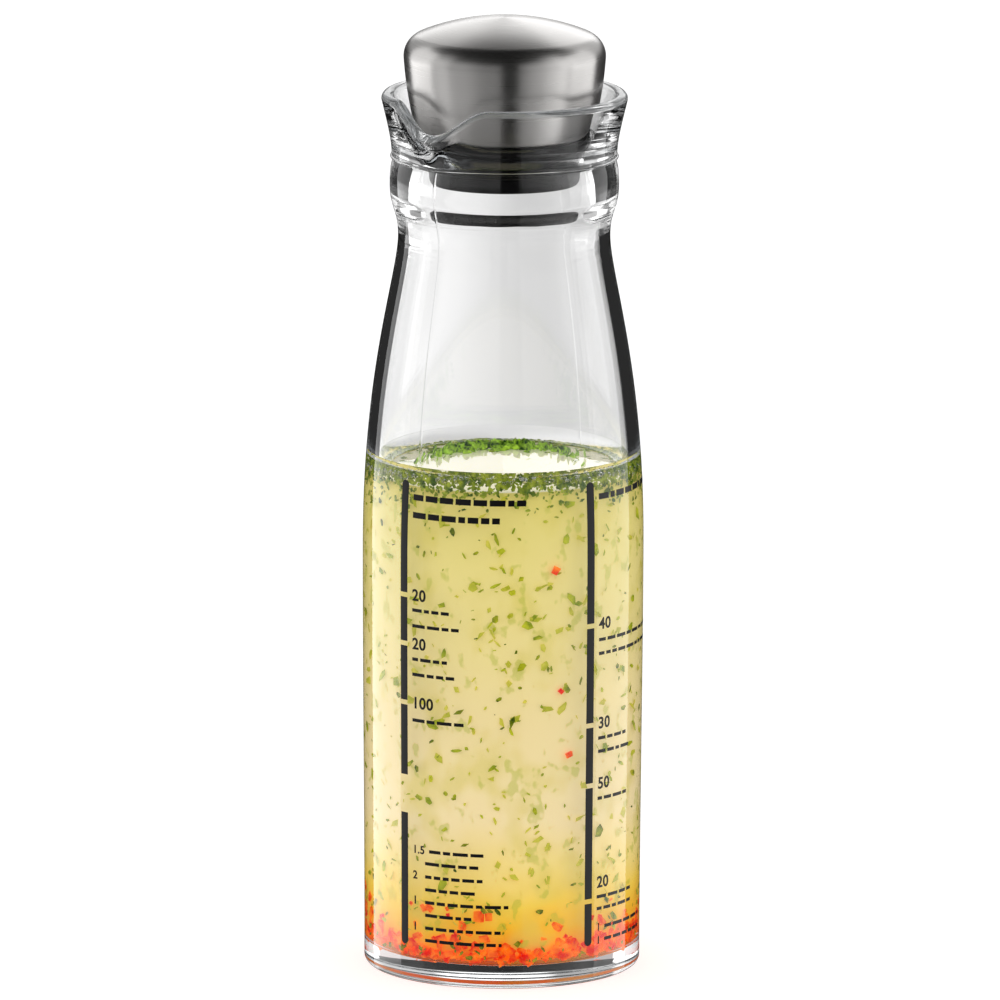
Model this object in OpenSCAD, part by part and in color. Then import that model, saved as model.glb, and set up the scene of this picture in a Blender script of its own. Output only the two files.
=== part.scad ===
// Glass dressing shaker bottle with a push-in stopper.
// The bottle stands on the origin with +Z up, and the viewer's side is -Y.
// The pouring lip is on the viewer's left. Lengths are in millimetres.

/* [Glass body] */
// Greatest outside diameter of the body
body_d = 58; // [50:0.5:70]
// How much narrower the body is in diameter just above its foot
foot_draft = 1; // [0:0.1:3]
// Height of the widest level above the table
belly_h = 89; // [70:1:110]
// Height from the widest level up to the waist under the neck
shoulder_h = 64; // [52:1:80]
// Thickness of the side wall
wall_t = 2.6; // [1.8:0.1:4]
// Thickness of the glass floor at its centre
floor_t = 4.2; // [3:0.1:8]
// Radius of the outside corner at the foot
heel_r = 1.6; // [0.8:0.1:4]
// Radius of the inside corner between wall and floor
floor_corner_r = 4; // [2:0.1:8]
// Depth of the hollow moulded into the underside
punt_h = 1.2; // [0.4:0.1:2]
// Width of the ring that the bottle stands on
stand_ring_w = 4; // [2:0.1:8]

/* [Neck and collar] */
// Diameter of the bore that the stopper seals in
bore_d = 36.2; // [30:0.1:42]
// Height of the straight part of the bore
bore_h = 8.1; // [6:0.1:10]
// Glass thickness where the neck swells round the bore
neck_wall_t = 5.5; // [4:0.1:8]
// Height from the waist up to the swelling of the neck
neck_rise = 10.8; // [8:0.1:14]
// How far the waist is drawn in from the swelling
waist_in = 1.75; // [1:0.05:3]
// Height from the swelling up to the crease under the collar
crease_rise = 5.4; // [4:0.1:8]
// How far the collar's foot is drawn in from the swelling
crease_in = 0.4; // [0.2:0.05:1.5]
// Ledge by which the collar stands out over the neck
crease_ledge = 0.3; // [0.2:0.05:0.8]
// Height of the collar from the crease to the top of the rim
collar_h = 13.6; // [11:0.1:18]
// Thickness of the rounded rim
rim_t = 2.7; // [2:0.1:4]

/* [Pouring lip] */
// Direction of the pouring lip, counted from the viewer to the right
lip_turn = -37.5; // [-180:0.5:180]
// Half of the angle over which the rim dips
lip_half = 30; // [22:0.5:40]
// How far the inner edge of the rim dips
lip_drop = 5.6; // [3:0.1:6.5]
// Extra dip for each millimetre outwards, so that the lip leans forward
lip_lean = 0.1; // [0:0.05:0.6]
// How far the lip is drawn outwards
lip_reach = 0.7; // [0.2:0.1:1.5]

/* [Steel cap] */
// Crown radius of the domed top
crown_r = 47; // [38:0.5:70]
// Radius of the shoulder between dome and side
shoulder_r = 4.8; // [3:0.1:8]
// Height of the side from its lower edge to its widest level
cap_side_h = 16.7; // [12:0.1:22]
// How much the widest level stands out over the lower edge
cap_swell = 2.4; // [1.5:0.1:3.5]
// Lean of the side where it leaves the shoulder, in degrees
cap_lean = 4; // [1:0.5:6]
// Thickness of the drawn sheet
sheet_t = 0.7; // [0.4:0.05:1.2]
// Outside radius of the edge where the sheet turns in
hem_r = 1.6; // [1.3:0.1:2.5]
// Width of the flat of the turned-in edge
hem_w = 2.2; // [1.5:0.1:3]
// Gap between the widest level of the cap and the inside of the rim
cap_gap = 1.85; // [1:0.05:4]

/* [Stopper] */
// Gap left round the sealing lips where they meet the glass
seal_clear = 0.1; // [0.02:0.01:0.2]
// Height of the cap's lower edge above the crease
seat_rise = 4.4; // [4.2:0.1:7]
// Thickness of the seal's flange under the cap
flange_t = 1.8; // [1.2:0.1:2.6]
// Height of each sealing lip
seal_lip_h = 2.6; // [2:0.1:3.2]
// Distance from the bore to the stopper's spigot
spigot_in = 1.8; // [1.6:0.1:3]
// Depth of the groove in which the seal sits
groove_depth = 0.9; // [0.5:0.1:1.5]
// Height of the spigot's end below the groove
spigot_end_h = 2.6; // [2:0.1:5]
// Wall thickness of the moulded core
core_wall = 1.6; // [1.2:0.1:2.2]
// Height of the core inside the cap
core_h = 12; // [8:0.5:14]
// Number of ribs between the core's tube and skirt
rib_count = 8; // [4:1:12]

/* [Hidden] */

// Small clearance between pieces that are pushed or glued together
fit_clear = 0.05;
// Facets of round faces
round_fn = 120;
// Steps along a usual curve of an outline, a long one, a short one and a small corner
curve_steps = 12;
long_steps = 24;
short_steps = 8;
corner_steps = 4;
// Steps over the half circle of the rim
rim_steps = 8;
// Steps round the pouring lip, and round the rest of the collar
lip_steps = 24;
collar_steps = 42;
// The collar's inside stands this far back from the bore, and the neck reaches up into it
collar_step = 0.08;
neck_root = 0.3;
// Height of the bore's top above the crease, where the funnel starts
bore_top_rise = 0.6;
// How much wider the cap's foot is than the bore, in radius
cap_over_bore = 0.3;

// Shares of a height over which an outline leaves or reaches its ends upright
belly_ease = 1 / 3;
shoulder_ease = 0.57;
waist_ease = 0.13;
neck_ease = 0.5;
collar_ease = 0.28;
// Height of the throat's wide end above the waist, and its wall there, a little thinner
throat_rise = 4.5;
throat_wall_t = 2.3;
// Lengths over which the throat leaves its wide end and reaches the bore upright
throat_run = 1.5;
throat_bend = 1;
// Share of the underside's hollow that is nearly flat
punt_flat = 0.75;
// Share of the collar's height above which the lip dips in full, and how softly it starts
lip_full = 0.8;
lip_ease = 1.15;

// Distance from the neck under the cap in to the core's tube
tube_in = 2.3;
// Rounding of the spigot's lower edge and of the flange's edges
spigot_edge_r = 0.6;
flange_edge_r = 0.5;
// How far the roots of the lower and the upper sealing lip stand out from the spigot
lip_b_root = 0.4;
lip_a_root = 0.9;
// How much further than the upper lip the lower one stands back from its glass
lip_b_back = 0.4;
// Shares of a sealing lip's height where it reaches out farthest: from here, up to here
lip_tip_low = 0.2;
lip_tip_high = 0.55;

body_r = body_d / 2;
foot_r = body_r - foot_draft / 2;
bore_r = bore_d / 2;
bulge_r = bore_r + neck_wall_t;
waist_r = bulge_r - waist_in;
collar_foot_r = bulge_r - crease_in;
neck_top_r = collar_foot_r - crease_ledge;

// The cap's lower edge is about as wide as the bore, and the rim clears the cap
cap_foot_r = bore_r + cap_over_bore;
cap_r = cap_foot_r + cap_swell;
rim_in_r = cap_r + cap_gap;
rim_r = rim_in_r + rim_t;

waist_z = belly_h + shoulder_h;
bulge_z = waist_z + neck_rise;
crease_z = bulge_z + crease_rise;
rim_top_z = crease_z + collar_h;
bead_z = rim_top_z - rim_t / 2;
bore_top_z = crease_z + bore_top_rise;
bore_bottom_z = bore_top_z - bore_h;
seat_z = crease_z + seat_rise;

// Point on a cubic curve between two ends and their two handles
function curve_point(p, t) =
    pow(1 - t, 3) * p[0] + 3 * pow(1 - t, 2) * t * p[1]
    + 3 * (1 - t) * pow(t, 2) * p[2] + pow(t, 3) * p[3];

// Points on a cubic curve, without its first point
function curve(p, steps = curve_steps) = [for (i = [1:steps]) curve_point(p, i / steps)];

// Points on an arc about a centre
function arc(centre, r, from, to, steps = curve_steps) =
    [for (i = [0:steps]) let (a = from + (to - from) * i / steps) centre + r * [cos(a), sin(a)]];

// Sweep that leaves its lower end and reaches its upper end upright, over shares of its height
function upright_sweep(low, high, ease_low, ease_high) =
    let (rise = high[1] - low[1])
    [low, low + [0, ease_low * rise], high - [0, ease_high * rise], high];

function reversed(list) = [for (i = [len(list) - 1:-1:0]) list[i]];
function moved(list, shift) = [for (p = list) p + shift];

// Radius of the funnel inside the collar at a height
function funnel_r(z) =
    bore_r + (rim_in_r - bore_r) * max(0, z - bore_top_z) / (bead_z - bore_top_z);

// Outside of the glass from the heel to the neck's top
foot_point = [foot_r, heel_r];
belly_point = [body_r, belly_h];
waist_point = [waist_r, waist_z];
bulge_point = [bulge_r, bulge_z];
side_sweep = upright_sweep(foot_point, belly_point, belly_ease, belly_ease);
shoulder_sweep = upright_sweep(belly_point, waist_point, shoulder_ease, waist_ease);
neck_sweep = upright_sweep(waist_point, bulge_point, neck_ease, neck_ease);
neck_top_sweep = [
    bulge_point,
    bulge_point + [0, crease_rise / 2],
    [neck_top_r + crease_rise / 10, crease_z - crease_rise / 3],
    [neck_top_r, crease_z + neck_root]
];

// Inside of the glass: the wall follows the outside, and the bore stands in from it
wall_shift = [-wall_t, 0];
throat_point = waist_point + [-throat_wall_t, throat_rise];
throat_sweep = [
    throat_point,
    throat_point + [0, throat_run],
    [bore_r, bore_bottom_z - throat_bend],
    [bore_r, bore_bottom_z]
];

// Collar: a foot that stands upright, a flare, a round rim and the funnel inside
flare_sweep = [
    [collar_foot_r, crease_z],
    [collar_foot_r, crease_z + collar_ease * collar_h],
    [(rim_r + collar_foot_r) / 2, bead_z - collar_h / 3],
    [rim_r, bead_z]
];
rim_step = 180 / rim_steps;
collar_outline = concat(
    [[collar_foot_r, crease_z]],
    curve(flare_sweep, short_steps),
    arc([rim_r - rim_t / 2, bead_z], rim_t / 2, rim_step, 180 - rim_step, rim_steps - 2),
    [for (i = [0:corner_steps]) let (z = bead_z - (bead_z - bore_top_z) * i / corner_steps)
        [funnel_r(z) + collar_step, z]],
    [[bore_r + collar_step, crease_z]]
);

// Hollow moulded into the underside, inside the ring that the bottle stands on
punt_r = foot_r - heel_r - stand_ring_w;
punt_sweep = [[0, punt_h], [punt_r * punt_flat, punt_h], [punt_r - punt_h, punt_h], [punt_r, 0]];

body_outline = concat(
    [[0, punt_h]],
    curve(punt_sweep, short_steps),
    arc([foot_r - heel_r, heel_r], heel_r, -90, 0, short_steps),
    curve(side_sweep),
    curve(shoulder_sweep, long_steps),
    curve(neck_sweep),
    curve(neck_top_sweep),
    [[bore_r, crease_z + neck_root]],
    reversed(curve(throat_sweep)),
    [throat_point],
    moved(reversed(curve(shoulder_sweep, long_steps)), wall_shift),
    moved([for (p = reversed(curve(side_sweep))) if (p[1] > floor_t + floor_corner_r) p], wall_shift),
    arc(
        [foot_r - wall_t - floor_corner_r, floor_t + floor_corner_r],
        floor_corner_r, 0, -90, short_steps
    ),
    [[0, floor_t]]
);

// Share of the dip at an angle from the middle of the pouring lip
function lip_share(a) = abs(a) < lip_half ? (1 + cos(180 * a / lip_half)) / 2 : 0;

// Share of the dip at a height: none at the crease, all of it at the rim
function lip_height_share(z) = pow(min(1, (z - crease_z) / (lip_full * collar_h)), lip_ease);

// Point of the collar's outline, drawn down and out by the pouring lip
function lip_point(p, a) =
    let (share = lip_share(a) * lip_height_share(p[1]))
    let (r = p[0] + share * lip_reach)
    let (z = p[1] - share * (lip_drop + lip_lean * (p[0] - rim_in_r)))
    [r * cos(a), r * sin(a), z];

// Directions of the collar's slices: close together at the lip, wider apart behind it
slice_angles = concat(
    [for (i = [0:lip_steps - 1]) -lip_half + 2 * lip_half * i / lip_steps],
    [for (i = [0:collar_steps - 1]) lip_half + (360 - 2 * lip_half) * i / collar_steps]
);

// Collar: its outline is carried round the axis, and each slice dips as the lip asks
module collar() {
    slices = len(slice_angles);
    count = len(collar_outline);
    points = [for (a = slice_angles, p = collar_outline) lip_point(p, a)];
    faces = [
        for (j = [0:slices - 1], i = [0:count - 1])
            let (k = (i + 1) % count, near = j * count, far = (j + 1) % slices * count)
            each [[near + i, near + k, far + i], [near + k, far + k, far + i]]
    ];
    polyhedron(points = points, faces = faces);
}

module bottle() {
    color([0.86, 0.93, 0.92, 0.4]) {
        rotate_extrude($fn = round_fn) polygon(body_outline);
        rotate([0, 0, lip_turn - 90]) collar();
    }
}

// Side of the cap: an arc that starts at the shoulder's lean and ends at the lower edge
widest_z = seat_z + cap_side_h;
shoulder_centre = [cap_r - shoulder_r, widest_z];
side_start = shoulder_centre + shoulder_r * [cos(cap_lean), -sin(cap_lean)];
side_end = [cap_foot_r, seat_z + hem_r];
side_slope = atan((side_start[0] - side_end[0]) / (side_start[1] - side_end[1]));
side_end_lean = 2 * side_slope - cap_lean;
side_r = (side_start[1] - side_end[1]) / (sin(side_end_lean) - sin(cap_lean));
side_centre = side_start - side_r * [cos(cap_lean), -sin(cap_lean)];
hem_centre = side_end - hem_r * [cos(side_end_lean), -sin(side_end_lean)];
hem_z = hem_centre[1] - hem_r;
hem_hole_r = hem_centre[0] - hem_w;

// Dome: the crown's centre lies on the axis, and the shoulder touches the crown from inside
crown_z = widest_z - sqrt(pow(crown_r - shoulder_r, 2) - pow(shoulder_centre[0], 2));
shoulder_from = atan2(widest_z - crown_z, shoulder_centre[0]);

// Outline of the cap's sheet at a depth under its outer face, from the crown down
function cap_face(depth) = concat(
    arc([0, crown_z], crown_r - depth, 90, shoulder_from),
    arc(shoulder_centre, shoulder_r - depth, shoulder_from, -cap_lean),
    arc(side_centre, side_r - depth, -cap_lean, -side_end_lean),
    arc(hem_centre, hem_r - depth, -side_end_lean, -90, short_steps)
);

module cap_shell() {
    color([0.72, 0.72, 0.71])
        rotate_extrude($fn = round_fn)
            polygon(concat(
                cap_face(0),
                [[hem_hole_r, hem_z], [hem_hole_r, hem_z + sheet_t]],
                reversed(cap_face(sheet_t))
            ));
}

// The core stands on the turned-in edge, and its spigot hangs down through the hole
spigot_r = bore_r - spigot_in;
groove_r = spigot_r - groove_depth;
neck_r = hem_hole_r - fit_clear;
tube_r = neck_r - tube_in;
core_floor_z = hem_z + sheet_t;
core_top_z = core_floor_z + core_h;
skirt_r = hem_centre[0];
lip_a_z = hem_z - flange_t - seal_lip_h;
lip_b_z = lip_a_z - seal_lip_h;
groove_bottom_z = lip_b_z;
spigot_bottom_z = groove_bottom_z - spigot_end_h;

module core_rib(angle) {
    rotate([0, 0, angle])
        translate([tube_r - core_wall / 2, -core_wall / 2, core_floor_z])
            cube([skirt_r - tube_r, core_wall, core_h - 2 * core_wall]);
}

module core_ring(outer_r, low_z, high_z) {
    translate([0, 0, low_z])
        difference() {
            cylinder(r = outer_r, h = high_z - low_z, $fn = round_fn);
            translate([0, 0, -1])
                cylinder(r = outer_r - core_wall, h = high_z - low_z + 2, $fn = round_fn);
        }
}

module stopper_core() {
    color([0.09, 0.09, 0.1]) {
        // Spigot: a cup with a groove round it for the seal and a soft lower edge
        rotate_extrude($fn = round_fn)
            polygon(concat(
                [[0, spigot_bottom_z]],
                arc(
                    [spigot_r - spigot_edge_r, spigot_bottom_z + spigot_edge_r],
                    spigot_edge_r, -90, 0, corner_steps
                ),
                [
                    [spigot_r, groove_bottom_z],
                    [groove_r, groove_bottom_z],
                    [groove_r, hem_z],
                    [neck_r, hem_z],
                    [neck_r, core_floor_z],
                    [skirt_r, core_floor_z],
                    [skirt_r, core_floor_z + core_wall],
                    [tube_r - core_wall, core_floor_z + core_wall],
                    [tube_r - core_wall, hem_z - core_wall],
                    [groove_r - core_wall, hem_z - core_wall],
                    [groove_r - core_wall, spigot_bottom_z + core_wall],
                    [0, spigot_bottom_z + core_wall]
                ]
            ));
        core_ring(tube_r, core_floor_z, core_top_z);
        core_ring(skirt_r, core_floor_z, core_top_z);
        for (i = [0:rib_count - 1])
            core_rib(i * 360 / rib_count);
    }
}

// One sealing lip: a soft wedge that swells from its root to its reach, and thins out above
function seal_lip(low_z, root_r, reach_r) =
    let (tip_low_z = low_z + lip_tip_low * seal_lip_h)
    let (tip_high_z = low_z + lip_tip_high * seal_lip_h)
    let (top_z = low_z + seal_lip_h)
    let (mid_r = (root_r + reach_r) / 2)
    concat(
        [[root_r, low_z]],
        curve([[root_r, low_z], [mid_r, low_z], [reach_r, tip_low_z], [reach_r, tip_high_z]], short_steps),
        curve([[reach_r, tip_high_z], [reach_r, top_z], [mid_r, top_z], [mid_r, top_z]], short_steps)
    );

module stopper_seal() {
    flange_r = cap_foot_r;
    edge_r = flange_edge_r;
    flange_low_z = hem_z - flange_t;
    reach_a = funnel_r(lip_a_z + lip_tip_low * seal_lip_h) - seal_clear;
    reach_b = bore_r - seal_clear - lip_b_back;
    bore_side_r = groove_r + fit_clear;
    color([0.06, 0.06, 0.06])
        rotate_extrude($fn = round_fn)
            polygon(concat(
                [[bore_side_r, lip_b_z]],
                seal_lip(lip_b_z, spigot_r + lip_b_root, reach_b),
                seal_lip(lip_a_z, spigot_r + lip_a_root, reach_a),
                arc([flange_r - edge_r, flange_low_z + edge_r], edge_r, -90, 0, corner_steps),
                arc([flange_r - edge_r, hem_z - edge_r], edge_r, 0, 90, corner_steps),
                [[bore_side_r, hem_z]]
            ));
}

bottle();
cap_shell();
stopper_core();
stopper_seal();
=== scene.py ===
"""Look model of a glass dressing shaker bottle: glass, printed scale, dressing, steel and rubber stopper."""
import bisect
import logging
import math
import random
from collections.abc import Callable, Iterable, Sequence
from dataclasses import dataclass, field
from enum import Enum

import bpy
import numpy as np
from mathutils import Matrix, Vector


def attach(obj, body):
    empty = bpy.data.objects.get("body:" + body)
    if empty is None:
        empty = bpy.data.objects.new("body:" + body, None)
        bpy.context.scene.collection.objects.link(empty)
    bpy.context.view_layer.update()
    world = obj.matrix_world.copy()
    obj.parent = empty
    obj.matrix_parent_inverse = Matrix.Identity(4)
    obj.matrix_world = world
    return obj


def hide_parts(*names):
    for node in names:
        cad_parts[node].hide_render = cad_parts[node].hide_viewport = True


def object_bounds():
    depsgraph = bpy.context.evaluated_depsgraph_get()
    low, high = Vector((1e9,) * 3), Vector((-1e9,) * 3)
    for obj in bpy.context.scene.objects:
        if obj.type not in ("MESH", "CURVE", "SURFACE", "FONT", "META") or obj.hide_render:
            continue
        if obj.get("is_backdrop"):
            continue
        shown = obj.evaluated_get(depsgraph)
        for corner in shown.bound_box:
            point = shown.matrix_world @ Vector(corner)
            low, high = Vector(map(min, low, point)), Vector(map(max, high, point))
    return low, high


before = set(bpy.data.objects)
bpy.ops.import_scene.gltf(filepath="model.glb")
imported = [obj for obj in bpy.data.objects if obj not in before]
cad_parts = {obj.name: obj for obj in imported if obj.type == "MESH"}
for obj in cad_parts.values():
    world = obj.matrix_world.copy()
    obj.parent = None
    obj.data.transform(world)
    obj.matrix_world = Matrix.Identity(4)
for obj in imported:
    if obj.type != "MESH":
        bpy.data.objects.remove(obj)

CAD_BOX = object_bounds()
MM = 0.001
LOG = logging.getLogger("dressing_shaker")

Point = tuple[float, float]
Outline = list[Point]
Setting = bpy.types.NodeSocket | float | tuple | bool | str
Warp = Callable[[float, float, float], Point]


class Body(Enum):
    """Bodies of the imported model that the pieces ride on."""

    GLASS = "glass_body"
    STOPPER = "stopper"


class Depth(Enum):
    """How deep in the dressing a herb flake floats: it fades into the cloudy liquid."""

    NEAR = 0
    MIDDLE = 1
    DEEP = 2


# Colours and nodes


def srgb(hex_code: str) -> tuple[float, float, float, float]:
    """Turn an sRGB hex colour to linear.

    Args:
        hex_code: Six hex digits after a number sign.

    Returns:
        Linear red, green, blue and an alpha of one.
    """
    parts = [int(hex_code[i : i + 2], 16) / 255 for i in (1, 3, 5)]
    linear = [c / 12.92 if c <= 0.04045 else ((c + 0.055) / 1.055) ** 2.4 for c in parts]
    return (*linear, 1.0)


def add_node(
    tree: bpy.types.NodeTree,
    kind: str,
    settings: dict[str, Setting] | None = None,
    inputs: dict[str | int, Setting] | None = None,
) -> bpy.types.Node:
    """Add one node, with its settings and its links.

    Args:
        tree: Node tree of a material or of the world.
        kind: Type name of the node.
        settings: Properties of the node.
        inputs: Value or source socket of each input, by name or by place.

    Returns:
        The new node.
    """
    node = tree.nodes.new(kind)
    for name, value in (settings or {}).items():
        setattr(node, name, value)
    for key, value in (inputs or {}).items():
        if isinstance(value, bpy.types.NodeSocket):
            tree.links.new(value, node.inputs[key])
        else:
            node.inputs[key].default_value = value
    return node


def set_ramp(node: bpy.types.Node, stops: Sequence[tuple[float, tuple]]) -> None:
    """Give a colour ramp its stops.

    Args:
        node: Colour ramp node.
        stops: Place and linear colour of each stop, in rising order.
    """
    elements = node.color_ramp.elements
    while len(elements) > 1:
        elements.remove(elements[-1])
    elements[0].position, elements[0].color = stops[0]
    for place, colour in stops[1:]:
        elements.new(place).color = colour


def new_material(name: str) -> tuple[bpy.types.Material, bpy.types.NodeTree]:
    """Make an empty node material.

    Args:
        name: Name of the material.

    Returns:
        The material and its node tree.
    """
    material = bpy.data.materials.new(name)
    material.use_nodes = True
    material.node_tree.nodes.clear()
    return material, material.node_tree


def set_surface(tree: bpy.types.NodeTree, shader: bpy.types.NodeSocket) -> None:
    """Join a shader to the output of its material."""
    add_node(tree, "ShaderNodeOutputMaterial", inputs={"Surface": shader})


def object_position(tree: bpy.types.NodeTree, scale: tuple = (1, 1, 1)) -> bpy.types.NodeSocket:
    """Position on the object in millimetres, stretched by a scale.

    Args:
        tree: Node tree to add to.
        scale: Stretch along X, Y and Z.

    Returns:
        Socket with the position.
    """
    place = add_node(tree, "ShaderNodeTexCoord").outputs["Object"]
    factors = tuple(s / MM for s in scale)
    return add_node(
        tree, "ShaderNodeVectorMath", {"operation": "MULTIPLY"}, {0: place, 1: factors}
    ).outputs[0]


def clear_to_soft_light(
    tree: bpy.types.NodeTree, shader: bpy.types.NodeSocket
) -> bpy.types.NodeSocket:
    """Let shadow and diffuse rays straight through, so that what stands behind is lit.

    Args:
        tree: Node tree to add to.
        shader: Shader that all other rays meet.

    Returns:
        Socket with the mixed shader.
    """
    clear = add_node(tree, "ShaderNodeBsdfTransparent")
    path = add_node(tree, "ShaderNodeLightPath")
    soft = add_node(
        tree,
        "ShaderNodeMath",
        {"operation": "MAXIMUM"},
        {0: path.outputs["Is Shadow Ray"], 1: path.outputs["Is Diffuse Ray"]},
    )
    return add_node(
        tree, "ShaderNodeMixShader", inputs={0: soft.outputs[0], 1: shader, 2: clear.outputs[0]}
    ).outputs[0]


def painted_pale_glow_far_off(
    tree: bpy.types.NodeTree, shader: bpy.types.NodeSocket
) -> bpy.types.NodeSocket:
    """Paint a pale grey glow, an emission, over what is seen over many mirrors, in place of the tinted light that
    runs far inside the wall.

    Args:
        tree: Node tree to add to.
        shader: Shader that is seen directly or over a few mirrors.

    Returns:
        Socket with the mixed shader.
    """
    path = add_node(tree, "ShaderNodeLightPath")
    far = add_node(
        tree,
        "ShaderNodeMath",
        {"operation": "GREATER_THAN"},
        {0: path.outputs["Glossy Depth"], 1: 2.5},
    )
    # Painted pale grey glow: an emission shown where a ray has met more than two mirrors
    pale = add_node(
        tree, "ShaderNodeEmission", inputs={"Color": srgb("#B9BDC0"), "Strength": 1.0}
    )
    return add_node(
        tree, "ShaderNodeMixShader", inputs={0: far.outputs[0], 1: shader, 2: pale.outputs[0]}
    ).outputs[0]


# Finishes, each made from what the real one is


@dataclass(frozen=True)
class FirePolishedGlass:
    """Pressed soda-lime glass, fire polished: clear, mirror smooth, with the slow waves of a mould."""

    tint: str = "#FFFFFF"
    ior: float = 1.5
    wave_mm: float = 14.0
    wave_height_mm: float = 0.012
    # Fine ripples where the neck was pinched in while the glass was stiffening
    ripple_mm: float = 1.5
    ripple_height_mm: float = 0.06
    ripple_z: tuple[float, float] = (148.0, 160.0)

    def build(self) -> bpy.types.Material:
        """Build the glass, which lets the studio's lamps through to what stands behind it."""
        material, tree = new_material("fire_polished_soda_lime_glass")
        waves = add_node(
            tree,
            "ShaderNodeTexNoise",
            inputs={
                "Vector": object_position(tree, (1, 1, 0.45)),
                "Scale": 1 / self.wave_mm,
                "Detail": 1.0,
            },
        )
        slow = add_node(
            tree,
            "ShaderNodeBump",
            inputs={
                "Strength": 1.0,
                "Distance": self.wave_height_mm * MM,
                "Height": waves.outputs[0],
            },
        )
        bump = add_node(
            tree,
            "ShaderNodeBump",
            inputs={
                "Strength": 1.0,
                "Distance": self.ripple_height_mm * MM,
                "Height": self.ripples(tree),
                "Normal": slow.outputs[0],
            },
        )
        glass = add_node(
            tree,
            "ShaderNodeBsdfGlass",
            inputs={
                "Color": srgb(self.tint),
                "Roughness": 0.0,
                "IOR": self.ior,
                "Normal": bump.outputs[0],
            },
        )
        set_surface(tree, clear_to_soft_light(tree, glass.outputs[0]))
        return material

    def ripples(self, tree: bpy.types.NodeTree) -> bpy.types.NodeSocket:
        """Height of the ripples, which fade out above and below the neck."""
        place = object_position(tree)
        lines = add_node(
            tree,
            "ShaderNodeTexNoise",
            inputs={
                "Vector": object_position(tree, (0.16, 0.16, 1)),
                "Scale": 1 / self.ripple_mm,
                "Detail": 1.0,
            },
        )
        height = add_node(tree, "ShaderNodeSeparateXYZ", inputs={0: place}).outputs["Z"]
        low, high = self.ripple_z
        rising = add_node(
            tree,
            "ShaderNodeMapRange",
            {"interpolation_type": "SMOOTHSTEP"},
            {"Value": height, "From Min": low, "From Max": low + 3},
        )
        falling = add_node(
            tree,
            "ShaderNodeMapRange",
            {"interpolation_type": "SMOOTHSTEP"},
            {"Value": height, "From Min": high, "From Max": high - 3},
        )
        faded = add_node(
            tree,
            "ShaderNodeMath",
            {"operation": "MULTIPLY"},
            {0: rising.outputs[0], 1: falling.outputs[0]},
        )
        return add_node(
            tree,
            "ShaderNodeMath",
            {"operation": "MULTIPLY"},
            {0: lines.outputs[0], 1: faded.outputs[0]},
        ).outputs[0]


@dataclass(frozen=True)
class PolishedRim:
    """Rim that was cut and flame polished: clear, with a painted highlight of milky white mixed into the glass."""

    ior: float = 1.5
    # Share and colour of the painted highlight: milky white mixed into the clear glass
    painted_highlight_share: float = 0.16
    painted_highlight_colour: str = "#F4F7F8"
    streak_mm: float = 5.0

    def build(self) -> bpy.types.Material:
        """Build the rim, its painted highlight uneven along the rim."""
        material, tree = new_material("rim_with_painted_highlight")
        streaks = add_node(
            tree,
            "ShaderNodeTexNoise",
            inputs={"Vector": object_position(tree), "Scale": 1 / self.streak_mm, "Detail": 2.0},
        )
        share = add_node(
            tree,
            "ShaderNodeMapRange",
            inputs={
                "Value": streaks.outputs[0],
                "From Min": 0.3,
                "From Max": 0.7,
                "To Min": self.painted_highlight_share * 0.4,
                "To Max": self.painted_highlight_share * 1.5,
            },
        )
        glass = add_node(
            tree, "ShaderNodeBsdfGlass", inputs={"Roughness": 0.01, "IOR": self.ior}
        )
        # Painted highlight: a milky white diffuse mixed into the glass by an uneven share
        painted_highlight = add_node(tree, "ShaderNodeBsdfDiffuse", inputs={"Color": srgb(self.painted_highlight_colour)})
        both = add_node(
            tree,
            "ShaderNodeMixShader",
            inputs={0: share.outputs[0], 1: glass.outputs[0], 2: painted_highlight.outputs[0]},
        )
        set_surface(tree, clear_to_soft_light(tree, both.outputs[0]))
        return material


@dataclass(frozen=True)
class WettedFace:
    """Face where liquid lies against glass: glass bends light a little more, so it just shows."""

    glass_ior: float = 1.5
    liquid_ior: float = 1.4

    def build(self) -> bpy.types.Material:
        """Build the faint face, clear to soft light."""
        material, tree = new_material("wetted_glass_face")
        face = add_node(
            tree,
            "ShaderNodeBsdfGlass",
            inputs={"Roughness": 0.0, "IOR": self.glass_ior / self.liquid_ior},
        )
        set_surface(tree, clear_to_soft_light(tree, face.outputs[0]))
        return material


@dataclass(frozen=True)
class LiquidSide:
    """Side of the dressing's body: the glass's wetted face already bends the light there."""

    def build(self) -> bpy.types.Material:
        """Build the side, which nothing shows."""
        material, tree = new_material("liquid_against_glass")
        set_surface(tree, add_node(tree, "ShaderNodeBsdfTransparent").outputs[0])
        return material


@dataclass(frozen=True)
class LiquidSurface:
    """Upper face of the thin oil and vinegar: clear, with a faint uneven skin."""

    ior: float = 1.4
    wave_mm: float = 6.0
    wave_height_mm: float = 0.02

    def build(self) -> bpy.types.Material:
        """Build the upper face."""
        material, tree = new_material("dressing_surface")
        waves = add_node(
            tree,
            "ShaderNodeTexNoise",
            inputs={"Vector": object_position(tree), "Scale": 1 / self.wave_mm, "Detail": 1.0},
        )
        bump = add_node(
            tree,
            "ShaderNodeBump",
            inputs={"Distance": self.wave_height_mm * MM, "Height": waves.outputs[0]},
        )
        face = add_node(
            tree,
            "ShaderNodeBsdfGlass",
            inputs={"Roughness": 0.0, "IOR": self.ior, "Normal": bump.outputs[0]},
        )
        set_surface(tree, clear_to_soft_light(tree, face.outputs[0]))
        return material


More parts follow.
